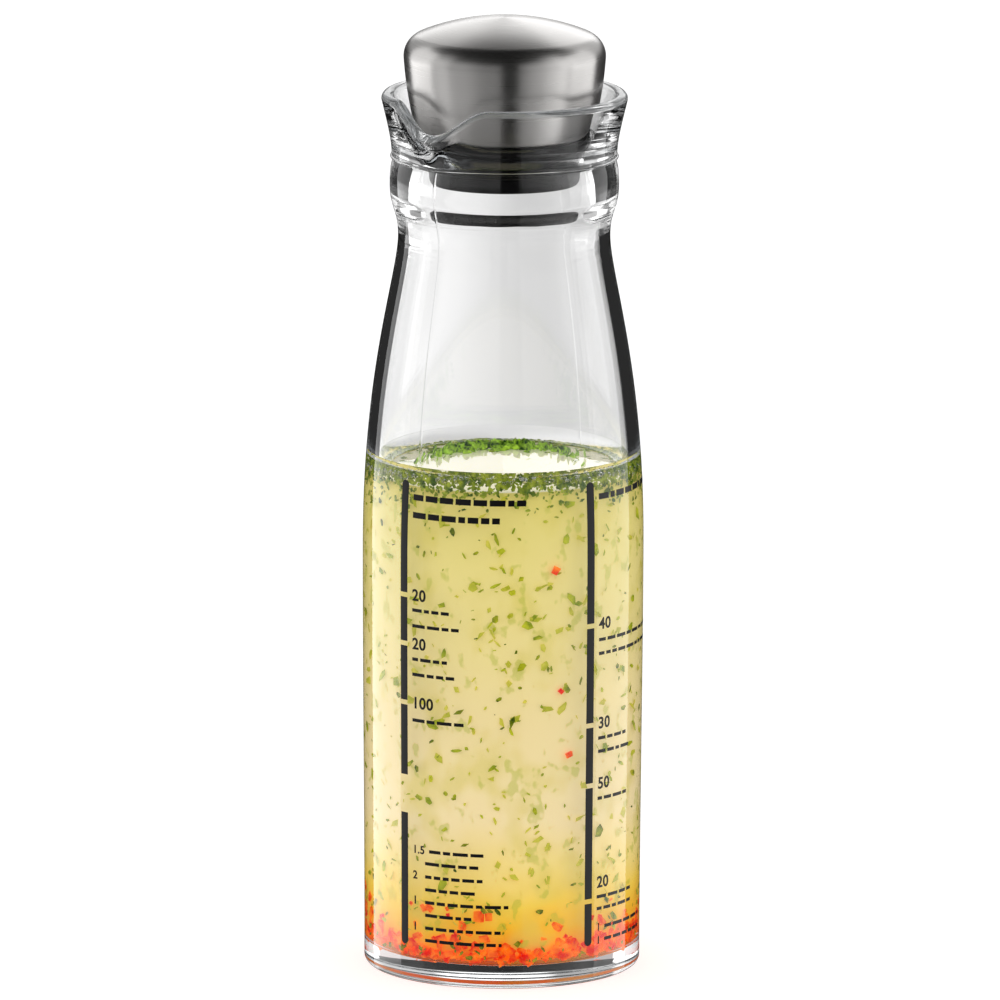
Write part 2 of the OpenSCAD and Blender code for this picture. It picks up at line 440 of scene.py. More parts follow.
@dataclass(frozen=True)
class BrushedSteel:
    """Drawn 18/10 stainless steel, brushed round the axis: streaks that smear light up and down."""

    colour: str = "#CDCBC9"
    dark_colour: str = "#C0BEBC"
    # Real brushing lines lie 0.05 to 0.1 mm apart; these are drawn coarser so that they show
    line_mm: float = 0.26
    line_length_mm: float = 45.0
    roughness: float = 0.3
    anisotropy: float = 0.75

    def build(self) -> bpy.types.Material:
        """Build the steel from its unrolled outline, which carries the brushing lines."""
        material, tree = new_material("brushed_stainless_steel")
        place = add_node(tree, "ShaderNodeUVMap", {"uv_map": "unrolled"}).outputs[0]
        stretched = add_node(
            tree,
            "ShaderNodeVectorMath",
            {"operation": "MULTIPLY"},
            {0: place, 1: (1 / self.line_length_mm, 1 / self.line_mm, 1.0)},
        )
        lines = add_node(
            tree,
            "ShaderNodeTexNoise",
            {"noise_dimensions": "2D"},
            {"Vector": stretched.outputs[0], "Scale": 1.0, "Detail": 3.0, "Roughness": 0.65},
        )
        tone = add_node(
            tree,
            "ShaderNodeMix",
            {"data_type": "RGBA"},
            {0: lines.outputs[0], 6: srgb(self.dark_colour), 7: srgb(self.colour)},
        )
        gloss = add_node(
            tree,
            "ShaderNodeMapRange",
            inputs={
                "Value": lines.outputs[0],
                "To Min": self.roughness - 0.07,
                "To Max": self.roughness + 0.07,
            },
        )
        bump = add_node(
            tree,
            "ShaderNodeBump",
            inputs={"Strength": 0.25, "Distance": 0.02 * MM, "Height": lines.outputs[0]},
        )
        tangent = add_node(tree, "ShaderNodeTangent", {"direction_type": "RADIAL", "axis": "Z"})
        steel = add_node(
            tree,
            "ShaderNodeBsdfPrincipled",
            inputs={
                "Base Color": tone.outputs[2],
                "Metallic": 1.0,
                "Roughness": gloss.outputs[0],
                "Anisotropic": self.anisotropy,
                "Anisotropic Rotation": 0.25,
                "Tangent": tangent.outputs[0],
                "Normal": bump.outputs[0],
            },
        )
        set_surface(tree, steel.outputs[0])
        return material


@dataclass(frozen=True)
class MouldedRubber:
    """Moulded black polymer, silicone or ABS: deep black with a fine grain that softens its shine."""

    name: str
    colour: str
    roughness: float
    ior: float
    grain_mm: float

    def build(self) -> bpy.types.Material:
        """Build the moulded black surface."""
        material, tree = new_material(self.name)
        grain = add_node(
            tree,
            "ShaderNodeTexNoise",
            inputs={"Vector": object_position(tree), "Scale": 1 / self.grain_mm, "Detail": 2.0},
        )
        gloss = add_node(
            tree,
            "ShaderNodeMapRange",
            inputs={
                "Value": grain.outputs[0],
                "To Min": self.roughness - 0.08,
                "To Max": self.roughness + 0.08,
            },
        )
        bump = add_node(
            tree,
            "ShaderNodeBump",
            inputs={"Strength": 0.3, "Distance": 0.02 * MM, "Height": grain.outputs[0]},
        )
        surface = add_node(
            tree,
            "ShaderNodeBsdfPrincipled",
            inputs={
                "Base Color": srgb(self.colour),
                "Roughness": gloss.outputs[0],
                "IOR": self.ior,
                "Specular IOR Level": 0.08,
                "Normal": bump.outputs[0],
            },
        )
        set_surface(tree, surface.outputs[0])
        return material


@dataclass(frozen=True)
class ScreenPrintedEnamel:
    """Black ceramic enamel, screen printed and fired on: dense, slightly uneven, low gloss."""

    colour: str = "#050506"
    thin_colour: str = "#101011"
    mesh_mm: float = 0.6

    def build(self) -> bpy.types.Material:
        """Build the enamel, a little thinner between the threads of the screen."""
        material, tree = new_material("screen_printed_enamel")
        spread = add_node(
            tree,
            "ShaderNodeTexNoise",
            inputs={"Vector": object_position(tree), "Scale": 1 / self.mesh_mm, "Detail": 2.0},
        )
        tone = add_node(
            tree,
            "ShaderNodeMix",
            {"data_type": "RGBA"},
            {0: spread.outputs[0], 6: srgb(self.colour), 7: srgb(self.thin_colour)},
        )
        enamel = add_node(
            tree,
            "ShaderNodeBsdfPrincipled",
            inputs={"Base Color": tone.outputs[2], "Roughness": 0.3, "Specular IOR Level": 0.3},
        )
        set_surface(tree, enamel.outputs[0])
        return material


@dataclass(frozen=True)
class CloudyDressing:
    """Shaken oil and vinegar: creamy yellow, greener above, orange over the pepper at the bottom."""

    low_z: float
    high_z: float
    # Height above the glass floor and colour, from the bottom up
    layers: tuple[tuple[float, str], ...] = (
        (0.0, "#F97A1E"),
        (4.0, "#FF9E2A"),
        (8.0, "#FFC034"),
        (13.0, "#FFD654"),
        (20.0, "#FBE088"),
        (30.0, "#F9E3AC"),
        (50.0, "#F4DFA2"),
        (68.0, "#F0DE94"),
        (84.0, "#EBDB88"),
        (97.0, "#E3D47A"),
    )
    wisp_colour: str = "#DACA62"
    wisp_mm: float = 9.0
    fleck_colour: str = "#B6BA3C"
    fleck_mm: float = 3.2
    # Near white mixed into the faces of the cloud that point up
    upward_face_colour: str = "#F6F5EE"
    # Painted glow: an emission in the cloud's own colour, in place of light that comes through the cloud from behind
    glow: float = 0.22

    def build(self) -> bpy.types.Material:
        """Build the cloud: layers by height, slow wisps, and the soft green of flakes deep inside."""
        material, tree = new_material("cloudy_oil_and_vinegar")
        place = object_position(tree)
        height = add_node(tree, "ShaderNodeSeparateXYZ", inputs={0: place}).outputs["Z"]
        drift = add_node(
            tree, "ShaderNodeTexNoise", inputs={"Vector": place, "Scale": 1 / 12, "Detail": 2.0}
        )
        wander = add_node(
            tree,
            "ShaderNodeMath",
            {"operation": "MULTIPLY_ADD"},
            {0: drift.outputs[0], 1: 8.0, 2: height},
        )
        level = add_node(
            tree,
            "ShaderNodeMapRange",
            inputs={"Value": wander.outputs[0], "From Min": self.low_z + 4, "From Max": self.high_z + 4},
        )
        ramp = add_node(tree, "ShaderNodeValToRGB", inputs={0: level.outputs[0]})
        span = self.high_z - self.low_z
        set_ramp(ramp, [(z / span, srgb(colour)) for z, colour in self.layers])
        colour = ramp.outputs[0]
        for name, tint, size_mm, low, high, share in (
            ("wisps", self.wisp_colour, self.wisp_mm, 0.48, 0.7, 0.5),
            ("flecks", self.fleck_colour, self.fleck_mm, 0.58, 0.68, 0.5),
        ):
            noise = add_node(
                tree,
                "ShaderNodeTexNoise",
                {"label": name},
                {"Vector": object_position(tree, (1, 1, 0.8)), "Scale": 1 / size_mm, "Detail": 2.0},
            )
            amount = add_node(
                tree,
                "ShaderNodeMapRange",
                {"interpolation_type": "SMOOTHSTEP"},
                {"Value": noise.outputs[0], "From Min": low, "From Max": high, "To Max": share},
            )
            colour = add_node(
                tree,
                "ShaderNodeMix",
                {"data_type": "RGBA"},
                {0: amount.outputs[0], 6: colour, 7: srgb(tint)},
            ).outputs[2]
        # Faces that point up are mixed towards near white
        facing = add_node(tree, "ShaderNodeNewGeometry").outputs["Normal"]
        upward = add_node(tree, "ShaderNodeSeparateXYZ", inputs={0: facing}).outputs["Z"]
        upward_share = add_node(
            tree,
            "ShaderNodeMapRange",
            inputs={"Value": upward, "From Min": 0.9, "From Max": 0.99, "To Max": 0.6},
        )
        colour = add_node(
            tree,
            "ShaderNodeMix",
            {"data_type": "RGBA"},
            {0: upward_share.outputs[0], 6: colour, 7: srgb(self.upward_face_colour)},
        ).outputs[2]
        # Painted glow: the cloud's colour is also emitted
        cloud = add_node(
            tree,
            "ShaderNodeBsdfPrincipled",
            inputs={
                "Base Color": colour,
                "Roughness": 0.8,
                "Specular IOR Level": 0.0,
                "Emission Color": colour,
                "Emission Strength": self.glow,
            },
        )
        # Seen over many mirrors, the cloud shows a painted pale grey glow instead
        set_surface(tree, painted_pale_glow_far_off(tree, cloud.outputs[0]))
        return material


@dataclass(frozen=True)
class CutVegetable:
    """Cut herb leaf or pepper flesh in oil: two tones from the noise of its cells, softly shining."""

    name: str
    light: str
    dark: str
    patch_mm: float
    shine: float
    # Painted glow: an emission in the flesh's own colours, in place of light that comes through the thin flesh from
    # behind
    glow: float = 0.2

    def build(self) -> bpy.types.Material:
        """Build the two-toned, wet surface."""
        material, tree = new_material(self.name)
        patches = add_node(
            tree,
            "ShaderNodeTexNoise",
            inputs={"Vector": object_position(tree), "Scale": 1 / self.patch_mm, "Detail": 2.0},
        )
        share = add_node(
            tree,
            "ShaderNodeMapRange",
            inputs={"Value": patches.outputs[0], "From Min": 0.35, "From Max": 0.65},
        )
        tone = add_node(
            tree,
            "ShaderNodeMix",
            {"data_type": "RGBA"},
            {0: share.outputs[0], 6: srgb(self.dark), 7: srgb(self.light)},
        )
        # Painted glow: the flesh's colours are also emitted
        flesh = add_node(
            tree,
            "ShaderNodeBsdfPrincipled",
            inputs={
                "Base Color": tone.outputs[2],
                "Roughness": 0.35,
                "Specular IOR Level": self.shine,
                "Emission Color": tone.outputs[2],
                "Emission Strength": self.glow,
            },
        )
        # Seen over many mirrors, the flesh shows a painted pale grey glow instead
        set_surface(tree, painted_pale_glow_far_off(tree, flesh.outputs[0]))
        return material


@dataclass(frozen=True)
class AirBubble:
    """Air in liquid: it bends light the other way round, so each bubble is a dark ring with a glint."""

    ior: float = 1 / 1.4

    def build(self) -> bpy.types.Material:
        """Build the skin of a bubble."""
        material, tree = new_material("air_bubble")
        skin = add_node(
            tree, "ShaderNodeBsdfGlass", inputs={"Roughness": 0.0, "IOR": self.ior}
        )
        set_surface(tree, skin.outputs[0])
        return material


# Outlines in millimetres


def bezier(p: Sequence[Point], steps: int) -> Outline:
    """Points on a cubic curve, without its first point.

    Args:
        p: Start, its handle, the end's handle and the end.
        steps: Number of stretches.

    Returns:
        The points after the start.
    """
    points = []
    for i in range(1, steps + 1):
        t = i / steps
        a, b, c, d = (1 - t) ** 3, 3 * t * (1 - t) ** 2, 3 * t * t * (1 - t), t**3
        points.append(tuple(a * p[0][k] + b * p[1][k] + c * p[2][k] + d * p[3][k] for k in (0, 1)))
    return points


def arc(centre: Point, radius: float, start: float, end: float, steps: int) -> Outline:
    """Points on an arc.

    Args:
        centre: Centre of the arc.
        radius: Radius of the arc.
        start: First angle in degrees, from the outward direction upwards.
        end: Last angle in degrees.
        steps: Number of stretches.

    Returns:
        The points, with both ends.
    """
    angles = [math.radians(start + (end - start) * i / steps) for i in range(steps + 1)]
    return [(centre[0] + radius * math.cos(a), centre[1] + radius * math.sin(a)) for a in angles]


def upright_sweep(low: Point, high: Point, ease_low: float, ease_high: float) -> list[Point]:
    """Handles of a curve that is upright at both its ends.

    Args:
        low: Lower end.
        high: Upper end.
        ease_low: Share of the rise over which it leaves the lower end.
        ease_high: Share of the rise over which it reaches the upper end.

    Returns:
        The two ends and their handles.
    """
    rise = high[1] - low[1]
    return [low, (low[0], low[1] + ease_low * rise), (high[0], high[1] - ease_high * rise), high]


def soften(outline: Outline, reach: float, sharp: float = 14.0, steps: int = 5) -> Outline:
    """Round the sharp corners of an outline, as fire polishing or moulding leaves them.

    Args:
        outline: Points, open at the axis.
        reach: How far from the corner the rounding starts.
        sharp: Least turn in degrees that counts as a corner.
        steps: Number of stretches in each rounding.

    Returns:
        The outline with round corners.
    """
    softened = [outline[0]]
    for before, corner, after in zip(outline, outline[1:], outline[2:]):
        back = Vector(before) - Vector(corner)
        on = Vector(after) - Vector(corner)
        if back.length < 1e-6 or on.length < 1e-6:
            continue
        if math.degrees(on.angle(-back)) < sharp:
            softened.append(corner)
            continue
        start = Vector(corner) + back.normalized() * min(reach, back.length * 0.45)
        end = Vector(corner) + on.normalized() * min(reach, on.length * 0.45)
        for i in range(steps + 1):
            t = i / steps
            point = (1 - t) ** 2 * start + 2 * t * (1 - t) * Vector(corner) + t * t * end
            softened.append((point.x, point.y))
    return [*softened, outline[-1]]


def even_angles(count: int) -> list[float]:
    """Evenly spaced directions round the axis, in degrees."""
    return [360 * i / count for i in range(count)]


# Meshes


def make_object(name: str, mesh: bpy.types.Mesh, finishes: Iterable[bpy.types.Material]) -> bpy.types.Object:
    """Put a mesh into the scene with its finishes.

    Args:
        name: Name of the piece.
        mesh: Its mesh.
        finishes: Materials, in the order of the mesh's slots.

    Returns:
        The new object.
    """
    piece = bpy.data.objects.new(name, mesh)
    for finish in finishes:
        mesh.materials.append(finish)
    bpy.context.scene.collection.objects.link(piece)
    return piece


def lathe(
    name: str,
    outline: Outline,
    angles: Sequence[float],
    finishes: Sequence[bpy.types.Material],
    warp: Warp | None = None,
    slot_of: Callable[[Point, Point], int] | None = None,
) -> bpy.types.Object:
    """Turn an outline round the axis.

    An outline that starts and ends on the axis is closed there, and any other one closes on itself.

    Args:
        name: Name of the piece.
        outline: Points of radius and height, with the solid on the left of the way.
        angles: Directions of the slices in degrees, rising.
        finishes: Materials of the piece.
        warp: Moves a point of the outline at a direction.
        slot_of: Gives the material slot of a stretch of the outline.

    Returns:
        The turned piece, smooth, with its unrolled map in millimetres.
    """
    on_axis = outline[0][0] < 1e-6 and outline[-1][0] < 1e-6
    ring = outline[1:-1] if on_axis else outline
    count, slices = len(ring), len(angles)
    coords = np.empty((slices, count, 3))
    for j, angle in enumerate(angles):
        radians = math.radians(angle)
        direction = (math.cos(radians), math.sin(radians))
        for i, (r, z) in enumerate(ring):
            r, z = warp(r, z, angle) if warp else (r, z)
            coords[j, i] = (r * direction[0], r * direction[1], z)
    verts = coords.reshape(-1, 3)
    if on_axis:
        poles = [(0.0, 0.0, outline[0][1]), (0.0, 0.0, outline[-1][1])]
        verts = np.vstack([verts, poles])
    length = [0.0]
    for a, b in zip(ring, [*ring[1:], ring[0]]):
        length.append(length[-1] + math.dist(a, b))
    mean_r = max(r for r, _ in ring)
    around = [math.radians(a) * mean_r for a in [*angles, angles[0] + 360]]
    faces, maps, slots = [], [], []
    stretches = count - 1 if on_axis else count
    for j in range(slices):
        k = (j + 1) % slices
        for i in range(stretches):
            n = (i + 1) % count
            faces.append((j * count + i, k * count + i, k * count + n, j * count + n))
            maps.append(
                (
                    (around[j], length[i]),
                    (around[j + 1], length[i]),
                    (around[j + 1], length[i + 1]),
                    (around[j], length[i + 1]),
                )
            )
            slots.append(slot_of(ring[i], ring[n]) if slot_of else 0)
        if on_axis:
            first, last = slices * count, slices * count + 1
            faces.append((first, k * count, j * count))
            faces.append((last, j * count + count - 1, k * count + count - 1))
            maps.append(((around[j], 0), (around[j + 1], 0), (around[j], 0)))
            maps.append(((around[j], length[-2]),) * 3)
            slots.append(slot_of(outline[0], ring[0]) if slot_of else 0)
            slots.append(slot_of(ring[-1], outline[-1]) if slot_of else 0)
    mesh = bpy.data.meshes.new(name)
    mesh.from_pydata((verts * MM).tolist(), [], faces)
    layer = mesh.uv_layers.new(name="unrolled")
    layer.data.foreach_set("uv", [c for face in maps for uv in face for c in uv])
    mesh.polygons.foreach_set("material_index", slots)
    mesh.shade_smooth()
    mesh.update()
    return make_object(name, mesh, finishes)


def mesh_piece(
    name: str,
    verts: list[tuple],
    faces: list[tuple],
    finish: bpy.types.Material,
    smooth: bool = False,
) -> bpy.types.Object:
    """Make a piece from points in millimetres.

    Args:
        name: Name of the piece.
        verts: Points in millimetres.
        faces: Corner numbers of each face.
        finish: Material of the piece.
        smooth: Whether its faces are shaded smooth.

    Returns:
        The new piece.
    """
    mesh = bpy.data.meshes.new(name)
    mesh.from_pydata([tuple(c * MM for c in v) for v in verts], [], faces)
    if smooth:
        mesh.shade_smooth()
    mesh.update()
    return make_object(name, mesh, [finish])


def around_axis(azimuth: float, radius: float, z: float) -> Vector:
    """Point at an azimuth, counted in degrees from the viewer to the right."""
    a = math.radians(azimuth)
    return Vector((radius * math.sin(a), -radius * math.cos(a), z))


# The bottle


@dataclass
class GlassBottle:
    """Glass body with foot, belly, shoulder, waisted neck, collar and pouring lip."""

    body_d: float = 58.0
    foot_draft: float = 1.0
    belly_h: float = 89.0
    shoulder_h: float = 64.0
    wall_t: float = 2.6
    floor_t: float = 4.2
    heel_r: float = 1.6
    floor_corner_r: float = 4.0
    punt_h: float = 1.2
    stand_ring_w: float = 4.0
    bore_d: float = 36.2
    bore_h: float = 8.1
    neck_wall_t: float = 5.5
    neck_rise: float = 10.8
    waist_in: float = 1.75
    crease_rise: float = 5.4
    crease_in: float = 0.4
    crease_ledge: float = 0.3
    throat_rise: float = 4.5
    throat_wall_t: float = 2.3
    collar_h: float = 13.6
    rim_t: float = 2.7
    rim_in_r: float = 22.65
    lip_turn: float = -37.5
    lip_half: float = 30.0
    lip_drop: float = 5.6
    lip_lean: float = 0.1
    lip_reach: float = 0.7
    fill_z: float = 105.3
    meniscus_h: float = 2.8
    # Round line that the mould's neck ring leaves at the collar's foot, half as thick
    parting_h: float = 0.3
    seam_h: float = 0.07
    seam_half_deg: float = 0.45
    slices: int = 360
    curve_steps: int = 30

    def __post_init__(self) -> None:
        """Work out the levels and radii that the outline hangs on."""
        self.body_r = self.body_d / 2
        self.foot_r = self.body_r - self.foot_draft / 2
        self.bore_r = self.bore_d / 2
        self.bulge_r = self.bore_r + self.neck_wall_t
        self.waist_r = self.bulge_r - self.waist_in
        self.collar_foot_r = self.bulge_r - self.crease_in
        self.neck_top_r = self.collar_foot_r - self.crease_ledge
        self.rim_r = self.rim_in_r + self.rim_t
        self.waist_z = self.belly_h + self.shoulder_h
        self.bulge_z = self.waist_z + self.neck_rise
        self.crease_z = self.bulge_z + self.crease_rise
        self.bead_z = self.crease_z + self.collar_h - self.rim_t / 2
        self.bore_top_z = self.crease_z + 0.6
        self.bore_bottom_z = self.bore_top_z - self.bore_h
        self.contact_z = self.fill_z + self.meniscus_h
        side = self.side(120)
        self._heights = [z for _, z in side]
        self._radii = [r for r, _ in side]

    def side(self, steps: int) -> Outline:
        """Outside from the foot up to the waist."""
        foot, belly = (self.foot_r, self.heel_r), (self.body_r, self.belly_h)
        waist = (self.waist_r, self.waist_z)
        return [
            foot,
            *bezier(upright_sweep(foot, belly, 1 / 3, 1 / 3), steps),
            *bezier(upright_sweep(belly, waist, 0.57, 0.13), steps),
        ]

    def outer_r(self, z: float) -> float:
        """Outside radius of the body at a height below the waist."""
        i = min(max(bisect.bisect(self._heights, z), 1), len(self._heights) - 1)
        low, high = self._heights[i - 1], self._heights[i]
        share = (z - low) / (high - low)
        return self._radii[i - 1] + share * (self._radii[i] - self._radii[i - 1])

    def inner_r(self, z: float) -> float:
        """Inside radius of the body at a height below the waist."""
        radius = self.outer_r(z) - self.wall_t
        corner_z = self.floor_t + self.floor_corner_r
        if z >= corner_z:
            return radius
        drop = min(corner_z - z, self.floor_corner_r)
        return radius - self.floor_corner_r + math.sqrt(self.floor_corner_r**2 - drop**2)

    def funnel_r(self, z: float) -> float:
        """Inside radius of the collar at a height."""
        share = max(0.0, z - self.bore_top_z) / (self.bead_z - self.bore_top_z)
        return self.bore_r + (self.rim_in_r - self.bore_r) * share

    def outline(self) -> Outline:
        """Outline of the glass, from the hollow underneath up over the rim and down inside.

        Returns:
            Points of radius and height, both ends on the axis.
        """
        steps = self.curve_steps
        bulge = (self.bulge_r, self.bulge_z)
        waist = (self.waist_r, self.waist_z)
        punt_r = self.foot_r - self.heel_r - self.stand_ring_w
        punt = [(0.0, self.punt_h), (punt_r * 0.75, self.punt_h), (punt_r - self.punt_h, self.punt_h), (punt_r, 0.0)]
        neck_top = [
            bulge,
            (self.bulge_r, self.bulge_z + self.crease_rise / 2),
            (self.neck_top_r + self.crease_rise / 10, self.crease_z - self.crease_rise / 3),
            (self.neck_top_r, self.crease_z),
        ]
        flare = [
            (self.collar_foot_r, self.crease_z + 2 * self.parting_h),
            (self.collar_foot_r, self.crease_z + 0.28 * self.collar_h),
            ((self.rim_r + self.collar_foot_r) / 2, self.bead_z - self.collar_h / 3),
            (self.rim_r, self.bead_z),
        ]
        throat_r, throat_z = self.waist_r - self.throat_wall_t, self.waist_z + self.throat_rise
        throat = [
            (self.bore_r, self.bore_bottom_z),
            (self.bore_r, self.bore_bottom_z - 1),
            (throat_r, throat_z + 1.5),
            (throat_r, throat_z),
        ]
        rim = arc((self.rim_r - self.rim_t / 2, self.bead_z), self.rim_t / 2, 0, 180, 16)
        funnel = [(self.funnel_r(z), z) for z in self.levels(self.bead_z, self.bore_top_z, 16)]
        inside = [(r - self.wall_t, z) for r, z in reversed(self.side(steps))]
        corner_z = self.floor_t + self.floor_corner_r
        corner = (self.foot_r - self.wall_t - self.floor_corner_r, corner_z)
        points = [
            (0.0, self.punt_h),
            *bezier(punt, 12),
            *arc((self.foot_r - self.heel_r, self.heel_r), self.heel_r, -90, 0, 10),
            *self.side(steps)[1:],
            *bezier(upright_sweep(waist, bulge, 0.5, 0.5), steps),
            *bezier(neck_top, steps // 2),
            *arc((self.collar_foot_r, self.crease_z + self.parting_h), self.parting_h, -90, 90, 10),
            *bezier(flare, steps)[1:],
            *rim[1:],
            *funnel[1:],
            *((self.bore_r, z) for z in self.levels(self.bore_top_z, self.bore_bottom_z, 6)[1:]),
            *bezier(throat, steps // 2),
            *((r, z) for r, z in inside[1:] if z > corner_z + 0.3),
            *arc(corner, self.floor_corner_r, 0, -90, 12),
            *((corner[0] * share, self.floor_t) for share in (0.85, 0.5, 0.2)),
            (0.0, self.floor_t),
        ]
        return soften(points, 0.25)

    @staticmethod
    def levels(start: float, end: float, steps: int) -> list[float]:
        """Evenly spaced heights with both ends."""
        return [start + (end - start) * i / steps for i in range(steps + 1)]

    def shape(self, r: float, z: float, angle: float) -> Point:
        """Draw the pouring lip down and out, and raise the mould's seams.

        Args:
            r: Radius of the outline's point.
            z: Height of the outline's point.
            angle: Direction in degrees, with the pouring lip at zero.

        Returns:
            Radius and height of the moved point.
        """
        away = (angle + 180) % 360 - 180
        outside = z > self.heel_r and r > self.inner_r(min(z, self.waist_z)) + self.wall_t / 2
        if outside and z < self.crease_z - 0.3:
            across = min(abs(away), 180 - abs(away)) / self.seam_half_deg
            polished = 0.85 * (1 - min(1.0, max(0.0, (z - self.belly_h) / self.shoulder_h)))
            r += self.seam_h * (1 - polished) * math.exp(-across * across)
        if abs(away) >= self.lip_half or z <= self.crease_z:
            return r, z
        share = (1 + math.cos(math.pi * away / self.lip_half)) / 2
        share *= min(1.0, (z - self.crease_z) / (0.8 * self.collar_h)) ** 1.15
        lowered = self.lip_drop + self.lip_lean * (r - self.rim_in_r)
        return r + share * self.lip_reach, z - share * lowered

    def angles(self) -> list[float]:
        """Directions of the slices: even ones, and close ones over both seams."""
        close = [self.seam_half_deg * 0.4 * i for i in range(-6, 7)]
        seams = [(s + c) % 360 for s in (0, 180) for c in close]
        even = [a for a in even_angles(self.slices) if min(a, abs(a - 180), 360 - a) > 1.2]
        return sorted([*even, *seams])

    def face_kind(self, a: Point, b: Point) -> int:
        """Slot of a stretch: 1 where the dressing wets the inside, 2 on the rim, 0 elsewhere."""
        low, high = min(a[1], b[1]), max(a[1], b[1])
        if low > self.bead_z + 0.1:
            return 2
        inside = self.floor_t - 0.01 <= low and high <= self.contact_z + 0.05
        middle = (a[0] + b[0]) / 2
        return int(inside and middle < self.inner_r((low + high) / 2) + self.wall_t / 2)

    def build(self) -> bpy.types.Object:
        """Build the glass, turned so that its lip points where the real one does."""
        finishes = [FirePolishedGlass().build(), WettedFace().build(), PolishedRim().build()]
        outline = self.with_level(self.outline(), self.contact_z)
        piece = lathe("bottle_glass", outline, self.angles(), finishes, self.shape, self.face_kind)
        piece.data.transform(Matrix.Rotation(math.radians(self.lip_turn - 90), 4, "Z"))
        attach(piece, Body.GLASS.value)
        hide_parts("bottle")
        return piece

    def with_level(self, outline: Outline, level: float) -> Outline:
        """Add a point where the inside of the outline crosses a level.

        Args:
            outline: Outline of the glass.
            level: Height at which the dressing ends.

        Returns:
            The outline with a corner at that level.
        """
        added = []
        for a, b in zip(outline, outline[1:]):
            added.append(a)
            if a[1] > level > b[1]:
                share = (a[1] - level) / (a[1] - b[1])
                added.append((a[0] + share * (b[0] - a[0]), level))
        return [*added, outline[-1]]


# The stopper


